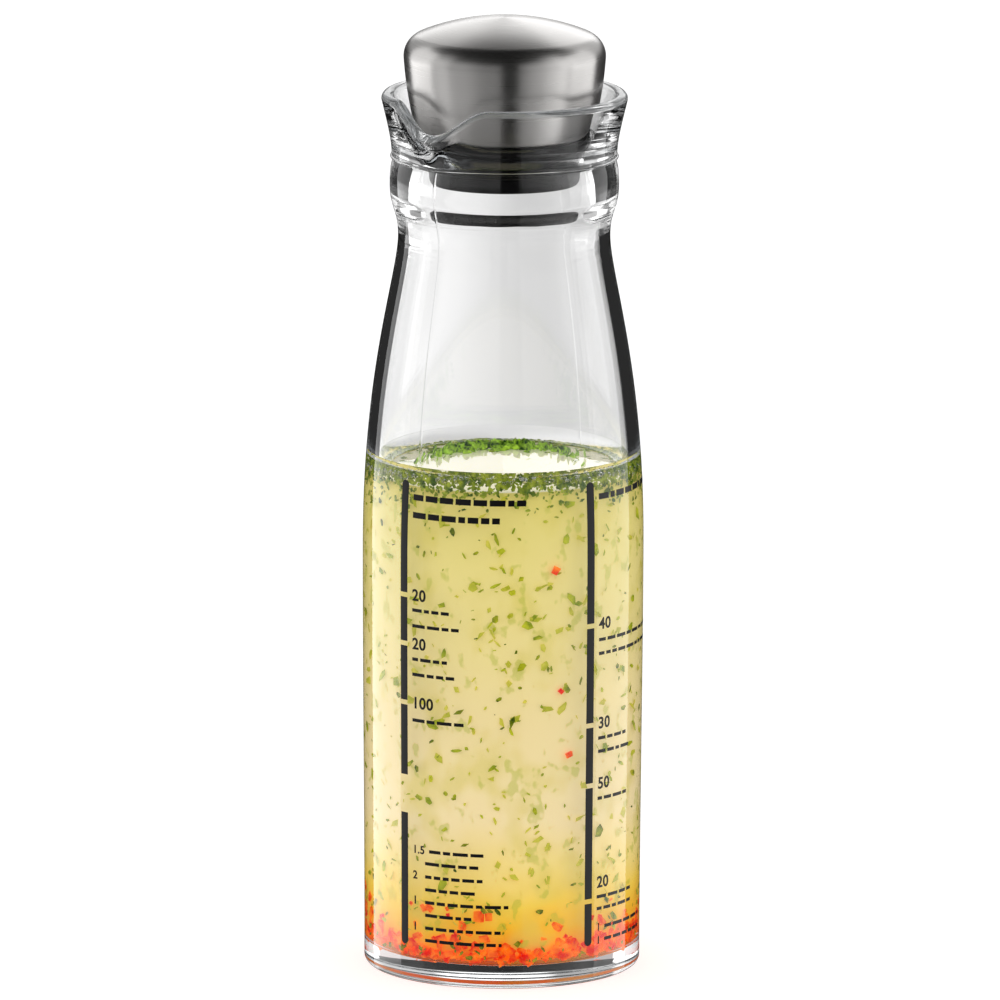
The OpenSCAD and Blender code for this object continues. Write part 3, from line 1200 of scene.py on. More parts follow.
@dataclass
class PushInStopper:
    """Domed steel cap, moulded core and lipped seal, which lift out of the neck together."""

    bottle: GlassBottle
    crown_r: float = 47.0
    shoulder_r: float = 4.8
    cap_side_h: float = 16.7
    cap_swell: float = 2.4
    cap_lean: float = 4.0
    sheet_t: float = 0.7
    hem_r: float = 1.6
    hem_w: float = 2.2
    cap_over_bore: float = 0.3
    seat_rise: float = 4.4
    seal_clear: float = 0.1
    flange_t: float = 1.8
    flange_edge_r: float = 0.5
    seal_lip_h: float = 2.6
    spigot_in: float = 1.8
    groove_depth: float = 0.9
    slices: int = 288

    def __post_init__(self) -> None:
        """Work out the arcs that the cap's outline is made of."""
        self.foot_r = self.bottle.bore_r + self.cap_over_bore
        self.cap_r = self.foot_r + self.cap_swell
        seat_z = self.bottle.crease_z + self.seat_rise
        lean = math.radians(self.cap_lean)
        widest_z = seat_z + self.cap_side_h
        self.shoulder = (self.cap_r - self.shoulder_r, widest_z)
        start = (
            self.shoulder[0] + self.shoulder_r * math.cos(lean),
            widest_z - self.shoulder_r * math.sin(lean),
        )
        end = (self.foot_r, seat_z + self.hem_r)
        slope = math.atan((start[0] - end[0]) / (start[1] - end[1]))
        end_lean = 2 * slope - lean
        self.end_lean = math.degrees(end_lean)
        self.side_r = (start[1] - end[1]) / (math.sin(end_lean) - math.sin(lean))
        self.side = (
            start[0] - self.side_r * math.cos(lean),
            start[1] + self.side_r * math.sin(lean),
        )
        self.hem = (
            end[0] - self.hem_r * math.cos(end_lean),
            end[1] + self.hem_r * math.sin(end_lean),
        )
        self.hem_z = self.hem[1] - self.hem_r
        rise = math.sqrt((self.crown_r - self.shoulder_r) ** 2 - self.shoulder[0] ** 2)
        self.crown_z = widest_z - rise
        self.shoulder_from = math.degrees(math.atan2(rise, self.shoulder[0]))

    def face(self, depth: float) -> Outline:
        """Outline of the cap's sheet at a depth under its outer face, from the crown down."""
        return [
            *arc((0.0, self.crown_z), self.crown_r - depth, 90, self.shoulder_from, 28),
            *arc(self.shoulder, self.shoulder_r - depth, self.shoulder_from, -self.cap_lean, 24)[1:],
            *arc(self.side, self.side_r - depth, -self.cap_lean, -self.end_lean, 20)[1:],
            *arc(self.hem, self.hem_r - depth, -self.end_lean, -90, 12)[1:],
        ]

    def build_cap(self) -> bpy.types.Object:
        """Build the drawn steel sheet with its turned-in edge."""
        hole_r = self.hem[0] - self.hem_w
        outline = [
            *self.face(0.0),
            (hole_r, self.hem_z),
            (hole_r, self.hem_z + self.sheet_t),
            *reversed(self.face(self.sheet_t)),
        ]
        outline = soften(outline, 0.15)
        piece = lathe(
            "steel_cap", outline[::-1], even_angles(self.slices), [BrushedSteel().build()]
        )
        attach(piece, Body.STOPPER.value)
        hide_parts("cap_shell")
        return piece

    def seal_lip(self, low_z: float, root_r: float, reach_r: float) -> Outline:
        """Outline of one sealing lip: a soft wedge that swells from its root to its reach."""
        tip_low_z = low_z + 0.2 * self.seal_lip_h
        tip_high_z = low_z + 0.55 * self.seal_lip_h
        top_z = low_z + self.seal_lip_h
        mid_r = (root_r + reach_r) / 2
        under = [(root_r, low_z), (mid_r, low_z), (reach_r, tip_low_z), (reach_r, tip_high_z)]
        over = [(reach_r, tip_high_z), (reach_r, top_z), (mid_r, top_z), (mid_r, top_z)]
        return [(root_r, low_z), *bezier(under, 14), *bezier(over, 14)[:-1]]

    def build_seal(self) -> bpy.types.Object:
        """Build the rubber seal: a flange under the cap and two lips in the neck."""
        edge = self.flange_edge_r
        spigot_r = self.bottle.bore_r - self.spigot_in
        inner_r = spigot_r - self.groove_depth + 0.05
        flange_z = self.hem_z - self.flange_t
        lip_a_z = flange_z - self.seal_lip_h
        lip_b_z = lip_a_z - self.seal_lip_h
        reach_a = self.bottle.funnel_r(lip_a_z + 0.2 * self.seal_lip_h) - self.seal_clear
        reach_b = self.bottle.bore_r - self.seal_clear - 0.4
        outline = [
            (inner_r, lip_b_z),
            *self.seal_lip(lip_b_z, spigot_r + 0.4, reach_b),
            *self.seal_lip(lip_a_z, spigot_r + 0.9, reach_a),
            *arc((self.foot_r - edge, flange_z + edge), edge, -90, 0, 8),
            *arc((self.foot_r - edge, self.hem_z - edge), edge, 0, 90, 8),
            (inner_r, self.hem_z),
        ]
        rubber = MouldedRubber("moulded_silicone", "#070708", 0.42, 1.43, 0.5)
        piece = lathe("rubber_seal", soften(outline, 0.1), even_angles(self.slices), [rubber.build()])
        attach(piece, Body.STOPPER.value)
        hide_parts("stopper_seal")
        return piece

    def dress_core(self) -> None:
        """Give the moulded core its plastic."""
        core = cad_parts["stopper_core"]
        plastic = MouldedRubber("moulded_black_abs", "#0A0A0B", 0.3, 1.53, 0.7).build()
        core.data.materials.clear()
        core.data.materials.append(plastic)


# The dressing


@dataclass
class Dressing:
    """Shaken dressing: clear body, cloudy heart, herb flakes, pepper bits and bubbles."""

    bottle: GlassBottle
    film: float = 0.02
    cloud_inset: float = 1.6
    raft_h: float = 4.6
    heap_r: float = 18.0
    seed: int = 11
    verts: list[tuple] = field(default_factory=list)
    faces: list[tuple] = field(default_factory=list)

    def top_r(self) -> float:
        """Radius at which the dressing meets the wall."""
        return self.bottle.inner_r(self.bottle.contact_z) - self.film

    def surface_z(self, r: float) -> float:
        """Height of the dressing's surface, which climbs the wall."""
        climb = math.exp(-(self.top_r() - r) / 1.15)
        return self.bottle.fill_z + self.bottle.meniscus_h * climb

    def build_liquid(self) -> bpy.types.Object:
        """Build the clear body: only its upper face bends light, the rest lies against glass."""
        bottle, top_r = self.bottle, self.top_r()
        wall = bottle.levels(bottle.floor_t + bottle.floor_corner_r, bottle.contact_z, 60)
        corner = (bottle.inner_r(wall[0]) - bottle.floor_corner_r, wall[0])
        top = [top_r * (1 - (i / 40) ** 2) for i in range(1, 41)]
        outline = [
            (0.0, bottle.floor_t + self.film),
            *arc(corner, bottle.floor_corner_r - self.film, -90, 0, 8)[:-1],
            *((bottle.inner_r(z) - self.film, z) for z in wall),
            *((r, self.surface_z(r)) for r in top[:-1]),
            (0.0, self.surface_z(0.0)),
        ]
        surface, side = LiquidSurface().build(), LiquidSide().build()

        def slot_of(a: Point, b: Point) -> int:
            """Slot of a stretch: 0 on the upper face and 1 elsewhere."""
            return int(min(a[1], b[1]) < bottle.fill_z - 0.01 or a[1] < b[1])

        piece = lathe("dressing_liquid", outline, even_angles(192), [surface, side], None, slot_of)
        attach(piece, Body.GLASS.value)
        return piece

    def build_cloud(self) -> bpy.types.Object:
        """Build the cloudy heart a little inside the wall, under the herbs that float."""
        bottle = self.bottle
        low_z = bottle.floor_t + 0.25
        high_z = bottle.fill_z - 1.6
        corner_r = 5.0
        wall = bottle.levels(low_z + corner_r, high_z - 1.5, 40)
        side = [(bottle.inner_r(z) - self.cloud_inset, z) for z in wall]
        foot = (side[0][0] - corner_r, low_z + corner_r)
        outline = [
            (0.0, low_z),
            *arc(foot, corner_r, -90, 0, 8)[:-1],
            *side,
            *arc((side[-1][0] - 1.5, high_z - 1.5), 1.5, 0, 90, 6)[1:],
            (0.0, high_z),
        ]
        finish = CloudyDressing(low_z, high_z).build()
        piece = lathe("dressing_cloud", outline, even_angles(160), [finish])
        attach(piece, Body.GLASS.value)
        return piece

    def add_solid(self, points: list[Vector], rings: int, place: Matrix) -> None:
        """Add one closed solid made of stacked rings of points.

        Args:
            points: Ring after ring, each with the same number of points.
            rings: Number of rings.
            place: Where the solid goes.
        """
        base, count = len(self.verts), len(points) // rings
        self.verts += [tuple(place @ p) for p in points]
        for k in range(rings - 1):
            for i in range(count):
                n = (i + 1) % count
                a, b = base + k * count, base + (k + 1) * count
                self.faces.append((a + i, a + n, b + n, b + i))
        self.faces.append(tuple(base + i for i in reversed(range(count))))
        self.faces.append(tuple(base + (rings - 1) * count + i for i in range(count)))

    def add_flake(self, rng: random.Random, length: float, width: float, place: Matrix) -> None:
        """Add a cut piece of leaf: an uneven, slightly curled plate.

        Args:
            rng: Seeded source of chance.
            length: Length in millimetres.
            width: Width in millimetres.
            place: Where the flake goes.
        """
        corners = rng.choice((4, 5, 6))
        turn = rng.uniform(0, math.tau)
        curl = rng.uniform(-0.12, 0.12)
        rim = []
        for i in range(corners):
            a = turn + math.tau * (i + rng.uniform(-0.25, 0.25)) / corners
            reach = rng.uniform(0.7, 1.0)
            rim.append((reach * length / 2 * math.cos(a), reach * width / 2 * math.sin(a)))
        half = 0.05
        points = [
            Vector((x, y, side * half + curl * x * x)) for side in (-1, 1) for x, y in rim
        ]
        self.add_solid(points, 2, place)

    def add_chunk(self, rng: random.Random, size: float, place: Matrix) -> None:
        """Add a diced bit of pepper: a skewed block with uneven corners.

        Args:
            rng: Seeded source of chance.
            size: Length of its edges in millimetres.
            place: Where the bit goes.
        """
        stretch = [rng.uniform(0.6, 1.3), rng.uniform(0.5, 1.1), rng.uniform(0.35, 0.7)]
        points = []
        for z in (-1, 1):
            for x, y in ((-1, -1), (1, -1), (1, 1), (-1, 1)):
                jitter = [rng.uniform(0.75, 1.1) for _ in range(3)]
                points.append(
                    Vector([c * s * j * size / 2 for c, s, j in zip((x, y, z), stretch, jitter)])
                )
        self.add_solid(points, 2, place)

    @staticmethod
    def placed(rng: random.Random, azimuth: float, radius: float, z: float, tilt: float) -> Matrix:
        """Place for a flake: facing outwards, tipped by up to a tilt and spun by chance.

        Args:
            rng: Seeded source of chance.
            azimuth: Degrees from the viewer to the right.
            radius: Distance from the axis.
            z: Height.
            tilt: Greatest tip in degrees.

        Returns:
            The place as a matrix.
        """
        outward = around_axis(azimuth, 1.0, 0.0).to_track_quat("Z", "Y").to_matrix().to_4x4()
        tip = Matrix.Rotation(math.radians(rng.uniform(-tilt, tilt)), 4, "X")
        tip @= Matrix.Rotation(math.radians(rng.uniform(-tilt, tilt)), 4, "Y")
        spin = Matrix.Rotation(rng.uniform(0, math.tau), 4, "Z")
        return Matrix.Translation(around_axis(azimuth, radius, z)) @ outward @ tip @ spin

    def finish_piece(self, name: str, finish: bpy.types.Material) -> bpy.types.Object:
        """Turn the solids gathered so far into one piece that rides in the bottle."""
        piece = mesh_piece(name, self.verts, self.faces, finish)
        self.verts, self.faces = [], []
        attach(piece, Body.GLASS.value)
        return piece

    def build_flakes(self, depth: Depth) -> bpy.types.Object:
        """Build the herb flakes that hang in the dressing at one depth.

        Args:
            depth: How far behind the wall they hang.

        Returns:
            The flakes as one piece.
        """
        count, inset, light, dark = {
            Depth.NEAR: (280, 0.5, "#ABAE10", "#465A02"),
            Depth.MIDDLE: (430, 0.95, "#BEC020", "#82920A"),
            Depth.DEEP: (520, 1.35, "#D6CC4C", "#B4B62C"),
        }[depth]
        rng = random.Random(self.seed + depth.value)
        for _ in range(count):
            z = rng.uniform(self.bottle.floor_t + 6, self.bottle.fill_z - 3)
            length = min(rng.lognormvariate(0.4 + 0.15 * depth.value, 0.45), 3.6)
            width = length * rng.uniform(0.25, 0.7)
            radius = self.bottle.inner_r(z) - inset
            tilt = math.degrees(math.asin(min(0.8, 2 * (inset - 0.15) / length)))
            place = self.placed(rng, rng.uniform(0, 360), radius, z, tilt)
            self.add_flake(rng, length, width, place)
        name = f"herbs_{depth.name.lower()}"
        finish = CutVegetable(f"cut_herb_{depth.name.lower()}", light, dark, 2.5, 0.2)
        return self.finish_piece(name, finish.build())

    def build_raft(self) -> bpy.types.Object:
        """Build the herbs that float: dense under the surface and thinning out downwards."""
        bottle, rng = self.bottle, random.Random(self.seed + 5)
        for _ in range(3600):
            azimuth = rng.uniform(-180, 180)
            down = min(rng.expovariate(1 / 1.5), self.raft_h * 1.6)
            lower = 1.3 * (1 - math.cos(math.radians(azimuth)))
            z = bottle.contact_z - 0.9 - lower - down
            limit = self.top_r() - 0.25 - max(0.0, 1.3 - down) * 0.6
            radius = limit - abs(rng.gauss(0, 0.6))
            length = rng.uniform(0.6, 1.9)
            place = self.placed(rng, azimuth, radius, z, 22)
            self.add_flake(rng, length, length * rng.uniform(0.35, 0.9), place)
        for _ in range(260):
            radius = self.top_r() - 1.2 - rng.expovariate(1 / 2.5)
            z = bottle.fill_z - rng.uniform(0.4, 1.3)
            azimuth = rng.gauss(180, 45)
            place = Matrix.Translation(around_axis(azimuth, max(radius, 2.0), z))
            place @= Matrix.Rotation(rng.uniform(-0.6, 0.6), 4, "X")
            place @= Matrix.Rotation(rng.uniform(0, math.tau), 4, "Z")
            length = rng.uniform(0.8, 2.6)
            self.add_flake(rng, length, length * rng.uniform(0.35, 0.9), place)
        finish = CutVegetable("cut_herb_floating", "#9CA82C", "#3E5C0C", 1.6, 0.3)
        return self.finish_piece("herbs_floating", finish.build())

    def build_heap(self) -> bpy.types.Object:
        """Build the larger cut leaves that float in a heap on the far half of the surface."""
        bottle, rng = self.bottle, random.Random(self.seed + 9)
        for _ in range(300):
            azimuth = rng.gauss(186, 36)
            radius = self.heap_r - abs(rng.gauss(0, 2.4))
            z = bottle.fill_z + rng.uniform(-0.6, 0.9)
            length = rng.uniform(1.2, 3.2)
            place = self.placed(rng, azimuth, radius, z, 35)
            self.add_flake(rng, length, length * rng.uniform(0.45, 0.95), place)
        finish = CutVegetable("cut_herb_heaped", "#A6D03C", "#1E4208", 1.3, 0.3)
        return self.finish_piece("herbs_heaped", finish.build())

    def build_pepper(self) -> bpy.types.Object:
        """Build the diced red pepper that lies at the bottom, and the few bits that float."""
        bottle, rng = self.bottle, random.Random(self.seed + 6)
        for _ in range(520):
            rise = min(rng.expovariate(1 / 2.6), 11.0)
            z = bottle.floor_t + 0.9 + rise
            size = rng.uniform(0.7, 2.4)
            radius = bottle.inner_r(z) - 0.25 - size * 0.5 - abs(rng.gauss(0, 0.5))
            place = self.placed(rng, rng.uniform(0, 360), radius, z, 40)
            self.add_chunk(rng, size, place)
        for azimuth, z, size in ((24.0, 87.5, 2.0), (26.8, 62.0, 1.0), (31.0, 48.5, 1.2)):
            radius = bottle.inner_r(z) - 0.8
            self.add_chunk(rng, size, self.placed(rng, azimuth, radius, z, 15))
        finish = CutVegetable("diced_red_pepper", "#FF8416", "#D81804", 2.4, 0.25, 0.4)
        return self.finish_piece("pepper_bits", finish.build())

    def build_bottom_herbs(self) -> bpy.types.Object:
        """Build the few herbs and seeds among the pepper."""
        bottle, rng = self.bottle, random.Random(self.seed + 7)
        for _ in range(130):
            z = bottle.floor_t + 1.0 + min(rng.expovariate(1 / 3.5), 11.0)
            radius = bottle.inner_r(z) - 0.5 - abs(rng.gauss(0, 0.4))
            length = rng.uniform(0.8, 2.4)
            place = self.placed(rng, rng.uniform(0, 360), radius, z, 25)
            self.add_flake(rng, length, length * rng.uniform(0.3, 0.8), place)
        finish = CutVegetable("cut_herb_sunk", "#A89A14", "#5E6A08", 1.8, 0.2)
        return self.finish_piece("herbs_sunk", finish.build())

    def build_bubbles(self) -> bpy.types.Object:
        """Build the bubbles that cling to the wall just under the surface."""
        rng = random.Random(self.seed + 8)
        for _ in range(230):
            size = rng.uniform(0.35, 1.15)
            azimuth = rng.uniform(-180, 180)
            z = self.bottle.contact_z - 0.9 - size / 2 - abs(rng.gauss(0, 0.7))
            z -= 1.6 * (1 - math.cos(math.radians(azimuth)))
            radius = self.bottle.inner_r(z) - 0.1 - size / 2
            centre = around_axis(azimuth, radius, z)
            self.add_ball(centre, size / 2)
        piece = mesh_piece("air_bubbles", self.verts, self.faces, AirBubble().build(), smooth=True)
        self.verts, self.faces = [], []
        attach(piece, Body.GLASS.value)
        return piece

    def add_ball(self, centre: Vector, radius: float) -> None:
        """Add a small ball of rings with a point at each end.

        Args:
            centre: Centre in millimetres.
            radius: Radius in millimetres.
        """
        rings, count = 7, 12
        base = len(self.verts)
        for k in range(1, rings):
            polar = math.pi * k / rings
            for i in range(count):
                a = math.tau * i / count
                ring_r = math.sin(polar)
                offset = Vector((ring_r * math.cos(a), ring_r * math.sin(a), -math.cos(polar)))
                self.verts.append(tuple(centre + radius * offset))
        low, high = len(self.verts), len(self.verts) + 1
        self.verts += [tuple(centre - Vector((0, 0, radius))), tuple(centre + Vector((0, 0, radius)))]
        for i in range(count):
            n = (i + 1) % count
            self.faces.append((low, base + n, base + i))
            top = base + (rings - 2) * count
            self.faces.append((high, top + i, top + n))
            for k in range(rings - 2):
                a, b = base + k * count, base + (k + 1) * count
                self.faces.append((a + i, a + n, b + n, b + i))


# The printed scale


@dataclass(frozen=True)
class ScaleColumn:
    """One printed column: a bar with gaps, and what is printed beside it."""

    azimuth: float
    top_z: float
    bottom_z: float
    gaps: tuple[tuple[float, float], ...]
    # Lower edge, height and digits of each number
    numbers: tuple[tuple[float, float, str], ...]
    # Lower edge, height, start and end of each row of small rules
    rows: tuple[tuple[float, float, float, float], ...]


@dataclass
class PrintedScale:
    """Black enamel scale on the outside of the glass: bars, plain numbers and rules."""

    bottle: GlassBottle
    columns: tuple[ScaleColumn, ...]
    bar_w: float = 1.9
    film: float = 0.03
    number_out: float = 2.3
    # How much bolder than the plain letter form the digits are
    number_bold: float = 0.09
    seed: int = 5

    def wrap(self, azimuth: float, across: float, z: float, depth: float) -> tuple:
        """Point of the print on the glass.

        Args:
            azimuth: Direction of the column in degrees.
            across: Distance along the glass to the right of the column.
            z: Height.
            depth: Distance outwards from the glass.

        Returns:
            The point in millimetres.
        """
        radius = self.bottle.outer_r(z)
        turn = azimuth + math.degrees(across / radius)
        return tuple(around_axis(turn, radius + depth, z))

    def add_patch(
        self, verts: list, faces: list, azimuth: float, low: Outline, high: Outline
    ) -> None:
        """Add a thin closed patch between a lower and an upper row of points.

        Args:
            verts: Points gathered so far.
            faces: Faces gathered so far.
            azimuth: Direction of the column.
            low: Lower row, from left to right, as distance across and height.
            high: Upper row, with as many points.
        """
        base, count = len(verts), len(low)
        for depth in (0.005, self.film):
            for row in (low, high):
                verts += [self.wrap(azimuth, x, z, depth) for x, z in row]
        for i in range(count - 1):
            a, b, c, d = (base + k * count + i for k in range(4))
            faces += [(a, b, b + 1, a + 1), (c, c + 1, d + 1, d)]
            faces += [(a, a + 1, c + 1, c), (b, d, d + 1, b + 1)]
        for i in (0, count - 1):
            a, b, c, d = (base + k * count + i for k in range(4))
            faces.append((a, c, d, b) if i == 0 else (a, b, d, c))

    def bar(self, verts: list, faces: list, column: ScaleColumn) -> None:
        """Add a column's bar: round at both ends and cut by its gaps.

        Args:
            verts: Points gathered so far.
            faces: Faces gathered so far.
            column: The column.
        """
        half, steps = self.bar_w / 2, 8
        ends = [column.bottom_z, *(z for gap in sorted(column.gaps) for z in gap), column.top_z]
        for low_z, high_z in zip(ends[::2], ends[1::2]):
            xs = [half * -math.cos(math.pi * i / steps) for i in range(steps + 1)]
            round_low = low_z == column.bottom_z
            round_high = high_z == column.top_z
            levels = self.bottle.levels(low_z + half, high_z - half, max(1, int((high_z - low_z) / 4)))
            rows = []
            rise = [math.sqrt(max(0.0, half * half - x * x)) for x in xs]
            rows.append([(x, low_z + half - h if round_low else low_z) for x, h in zip(xs, rise)])
            rows += [[(x, z) for x in xs] for z in levels]
            rows.append([(x, high_z - half + h if round_high else high_z) for x, h in zip(xs, rise)])
            for low, high in zip(rows, rows[1:]):
                self.add_patch(verts, faces, column.azimuth, low, high)

    def build_bars(self) -> bpy.types.Object:
        """Build the bars of all columns as one piece."""
        verts, faces = [], []
        for column in self.columns:
            self.bar(verts, faces, column)
        return self.printed("printed_bars", verts, faces)

    def build_rules(self) -> bpy.types.Object:
        """Build the rows of short rules, which stand where the real bottle has its wording."""
        verts, faces, rng = [], [], random.Random(self.seed)
        for column in self.columns:
            for z, height, start, end in column.rows:
                x = start
                while x < end - 0.6:
                    stop = min(x + rng.uniform(1.2, 3.4), end)
                    xs = self.bottle.levels(x, stop, max(1, int(stop - x)))
                    low, high = [(x, z) for x in xs], [(x, z + height) for x in xs]
                    self.add_patch(verts, faces, column.azimuth, low, high)
                    x = stop + 0.55
        return self.printed("printed_rules", verts, faces)

    def build_numbers(self) -> bpy.types.Object:
        """Build the plain numbers of all columns as one piece."""
        verts, faces = [], []
        for column in self.columns:
            for z, height, digits in column.numbers:
                curve = bpy.data.curves.new("digits", "FONT")
                curve.body = digits
                curve.size = height / 0.72
                curve.offset = self.number_bold * height / 2.4
                curve.extrude = self.film / 2
                curve.space_character = 1.06
                holder = bpy.data.objects.new("digits", curve)
                bpy.context.scene.collection.objects.link(holder)
                bpy.context.view_layer.update()
                mesh = holder.evaluated_get(bpy.context.evaluated_depsgraph_get()).to_mesh()
                base = len(verts)
                for v in mesh.vertices:
                    verts.append(
                        self.wrap(
                            column.azimuth,
                            self.number_out + v.co.x,
                            z + v.co.y,
                            v.co.z + self.film / 2 + 0.005,
                        )
                    )
                faces += [tuple(base + i for i in p.vertices) for p in mesh.polygons]
                bpy.data.objects.remove(holder)
                bpy.data.curves.remove(curve)
        return self.printed("printed_numbers", verts, faces)

    def printed(self, name: str, verts: list, faces: list) -> bpy.types.Object:
        """Make one printed piece that rides on the glass."""
        piece = mesh_piece(name, verts, faces, self.finish)
        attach(piece, Body.GLASS.value)
        return piece

    def build(self) -> None:
        """Build everything that is printed."""
        self.finish = ScreenPrintedEnamel().build()
        for piece in (self.build_bars(), self.build_rules(), self.build_numbers()):
            LOG.info("%s: %d faces", piece.name, len(piece.data.polygons))


# The studio


@dataclass(frozen=True)
class SoftBox:
    """A lit wall of the studio, by azimuth to the right of the viewer and elevation in degrees."""

    left: float
    right: float
    low: float
    high: float
    level: float
    edge: float = 3.0
    low_edge: float = 6.0


@dataclass
class Studio:
    """White background, pale floor, soft boxes and the photograph's camera."""

    elevation: float = 11.3
    distance_mm: float = 3500.0
    lens_mm: float = 610.5
    aim_x_mm: float = -0.68
    aim_z_mm: float = 97.25
    roll: float = 0.19
    dark_level: float = 0.02
    diffuse_level: float = 1.1
    # Brightness of what shines through the glass, on the left and on the right
    through_level: tuple[float, float] = (1.18, 0.86)
    # Half the width of the way between them, as a share of the direction to the right
    through_turn: float = 0.05
    boxes: tuple[SoftBox, ...] = (
        # Lamps at both sides, each brightest where the upright glass mirrors it
        SoftBox(84, 127, -24, 6, 1.7, 1.5, 6.0),
        SoftBox(84, 127, -14, -8, 0.6, 1.5, 2.0),
        SoftBox(84, 127, 6, 38, 1.4, 1.5, 8.0),
        SoftBox(-137, -94, -24, 6, 1.5, 1.5, 6.0),
        SoftBox(-137, -94, -14, -8, 2.0, 1.5, 2.0),
        SoftBox(-137, -94, 6, 38, 1.4, 1.5, 8.0),
        # Room in front, left and right of a dark gap, brighter towards the lamps
        SoftBox(-94, -4, -60, -15, 0.42, 2.0, 3.0),
        SoftBox(-94, -4, -15, 20, 0.22, 2.0, 3.0),
        SoftBox(-94, -4, 4, 24, 0.2, 2.0, 8.0),
        SoftBox(-94, -36, -60, 32, 0.26, 30.0, 12.0),
        SoftBox(-94, -69, -60, 46, 0.4, 3.0, 12.0),
        SoftBox(17.5, 84, -60, -15, 0.44, 2.0, 3.0),
        SoftBox(17.5, 84, -15, 24, 0.26, 2.0, 3.0),
        SoftBox(17.5, 84, 4, 28, 0.2, 2.0, 8.0),
        SoftBox(30, 84, -60, 38, 0.28, 20.0, 12.0),
        SoftBox(50, 84, -60, 50, 0.48, 20.0, 12.0),
        SoftBox(66, 84, -60, 52, 0.45, 12.0, 12.0),
        # White wall behind, and the dim room between it and the lamps
        SoftBox(162, 200, 6, 42, 2.2, 6.0, 6.0),
        SoftBox(-200, -166, 6, 42, 1.9, 6.0, 6.0),
        SoftBox(127, 162, 6, 50, 0.8, 3.0, 6.0),
        SoftBox(-166, -137, 6, 46, 0.5, 3.0, 6.0),
        SoftBox(127, 233, -60, 6, 0.01, 3.0, 6.0),
        SoftBox(-233, -137, -60, 6, 0.01, 3.0, 6.0),
    )

    def window(
        self, tree: bpy.types.NodeTree, value: bpy.types.NodeSocket, low: float, high: float, edge: float
    ) -> bpy.types.NodeSocket:
        """Share that is one between two values and fades to none outside them.

        Args:
            tree: The world's nodes.
            value: Angle to test.
            low: Where the window starts.
            high: Where it ends.
            edge: Width over which each side fades.

        Returns:
            Socket with the share.
        """
        smooth = {"interpolation_type": "SMOOTHSTEP"}
        rise = add_node(
            tree,
            "ShaderNodeMapRange",
            smooth,
            {"Value": value, "From Min": low - edge / 2, "From Max": low + edge / 2},
        )
        fall = add_node(
            tree,
            "ShaderNodeMapRange",
            smooth,
            {"Value": value, "From Min": high + edge / 2, "From Max": high - edge / 2},
        )
        both = add_node(
            tree,
            "ShaderNodeMath",
            {"operation": "MULTIPLY"},
            {0: rise.outputs[0], 1: fall.outputs[0]},
        )
        return both.outputs[0]

    def build_world(self) -> None:
        """Build the world: white where it is looked at, and the studio where it is mirrored."""
        world = bpy.data.worlds.new("studio")
        bpy.context.scene.world = world
        world.use_nodes = True
        # Without light sampling each ray meets the world as the kind of ray that it is
        world.cycles.sampling_method = "NONE"
        tree = world.node_tree
        tree.nodes.clear()
        way = add_node(tree, "ShaderNodeTexCoord").outputs["Generated"]
        parts = add_node(tree, "ShaderNodeSeparateXYZ", inputs={0: way})
        towards = add_node(
            tree, "ShaderNodeMath", {"operation": "MULTIPLY"}, {0: parts.outputs["Y"], 1: -1.0}
        )
        turn = add_node(
            tree,
            "ShaderNodeMath",
            {"operation": "ARCTAN2"},
            {0: parts.outputs["X"], 1: towards.outputs[0]},
        )
        climb = add_node(
            tree, "ShaderNodeMath", {"operation": "ARCSINE"}, {0: parts.outputs["Z"]}
        )
        azimuth, elevation = (
            add_node(
                tree, "ShaderNodeMath", {"operation": "DEGREES"}, {0: angle.outputs[0]}
            ).outputs[0]
            for angle in (turn, climb)
        )
        total: bpy.types.NodeSocket | float = self.dark_level
        for box in self.boxes:
            across = self.window(tree, azimuth, box.left, box.right, box.edge)
            upright = self.window(tree, elevation, box.low, box.high, box.low_edge)
            share = add_node(
                tree, "ShaderNodeMath", {"operation": "MULTIPLY"}, {0: across, 1: upright}
            )
            total = add_node(
                tree,
                "ShaderNodeMath",
                {"operation": "MULTIPLY_ADD"},
                {0: share.outputs[0], 1: box.level, 2: total},
            ).outputs[0]
        mirrored = add_node(tree, "ShaderNodeBackground", inputs={"Strength": total})
        white = add_node(tree, "ShaderNodeBackground", inputs={"Strength": 1.0})
        left, right = self.through_level
        falling = add_node(
            tree,
            "ShaderNodeMapRange",
            {"interpolation_type": "SMOOTHSTEP"},
            {
                "Value": parts.outputs["X"],
                "From Min": -self.through_turn,
                "From Max": self.through_turn,
                "To Min": left,
                "To Max": right,
            },
        )
        clear = add_node(tree, "ShaderNodeBackground", inputs={"Strength": falling.outputs[0]})
        lit = add_node(tree, "ShaderNodeBackground", inputs={"Strength": self.diffuse_level})
        path = add_node(tree, "ShaderNodeLightPath")
        unmirrored = add_node(
            tree,
            "ShaderNodeMath",
            {"operation": "LESS_THAN"},
            {0: path.outputs["Glossy Depth"], 1: 0.5},
        )
        through = add_node(
            tree,
            "ShaderNodeMath",
            {"operation": "MULTIPLY"},
            {0: path.outputs["Is Transmission Ray"], 1: unmirrored.outputs[0]},
        )
        shown = mirrored.outputs[0]
        for share, background in (
            (path.outputs["Is Diffuse Ray"], lit),
            (through.outputs[0], clear),
            (path.outputs["Is Camera Ray"], white),
        ):
            shown = add_node(
                tree, "ShaderNodeMixShader", inputs={0: share, 1: shown, 2: background.outputs[0]}
            ).outputs[0]
        add_node(tree, "ShaderNodeOutputWorld", inputs={"Surface": shown})

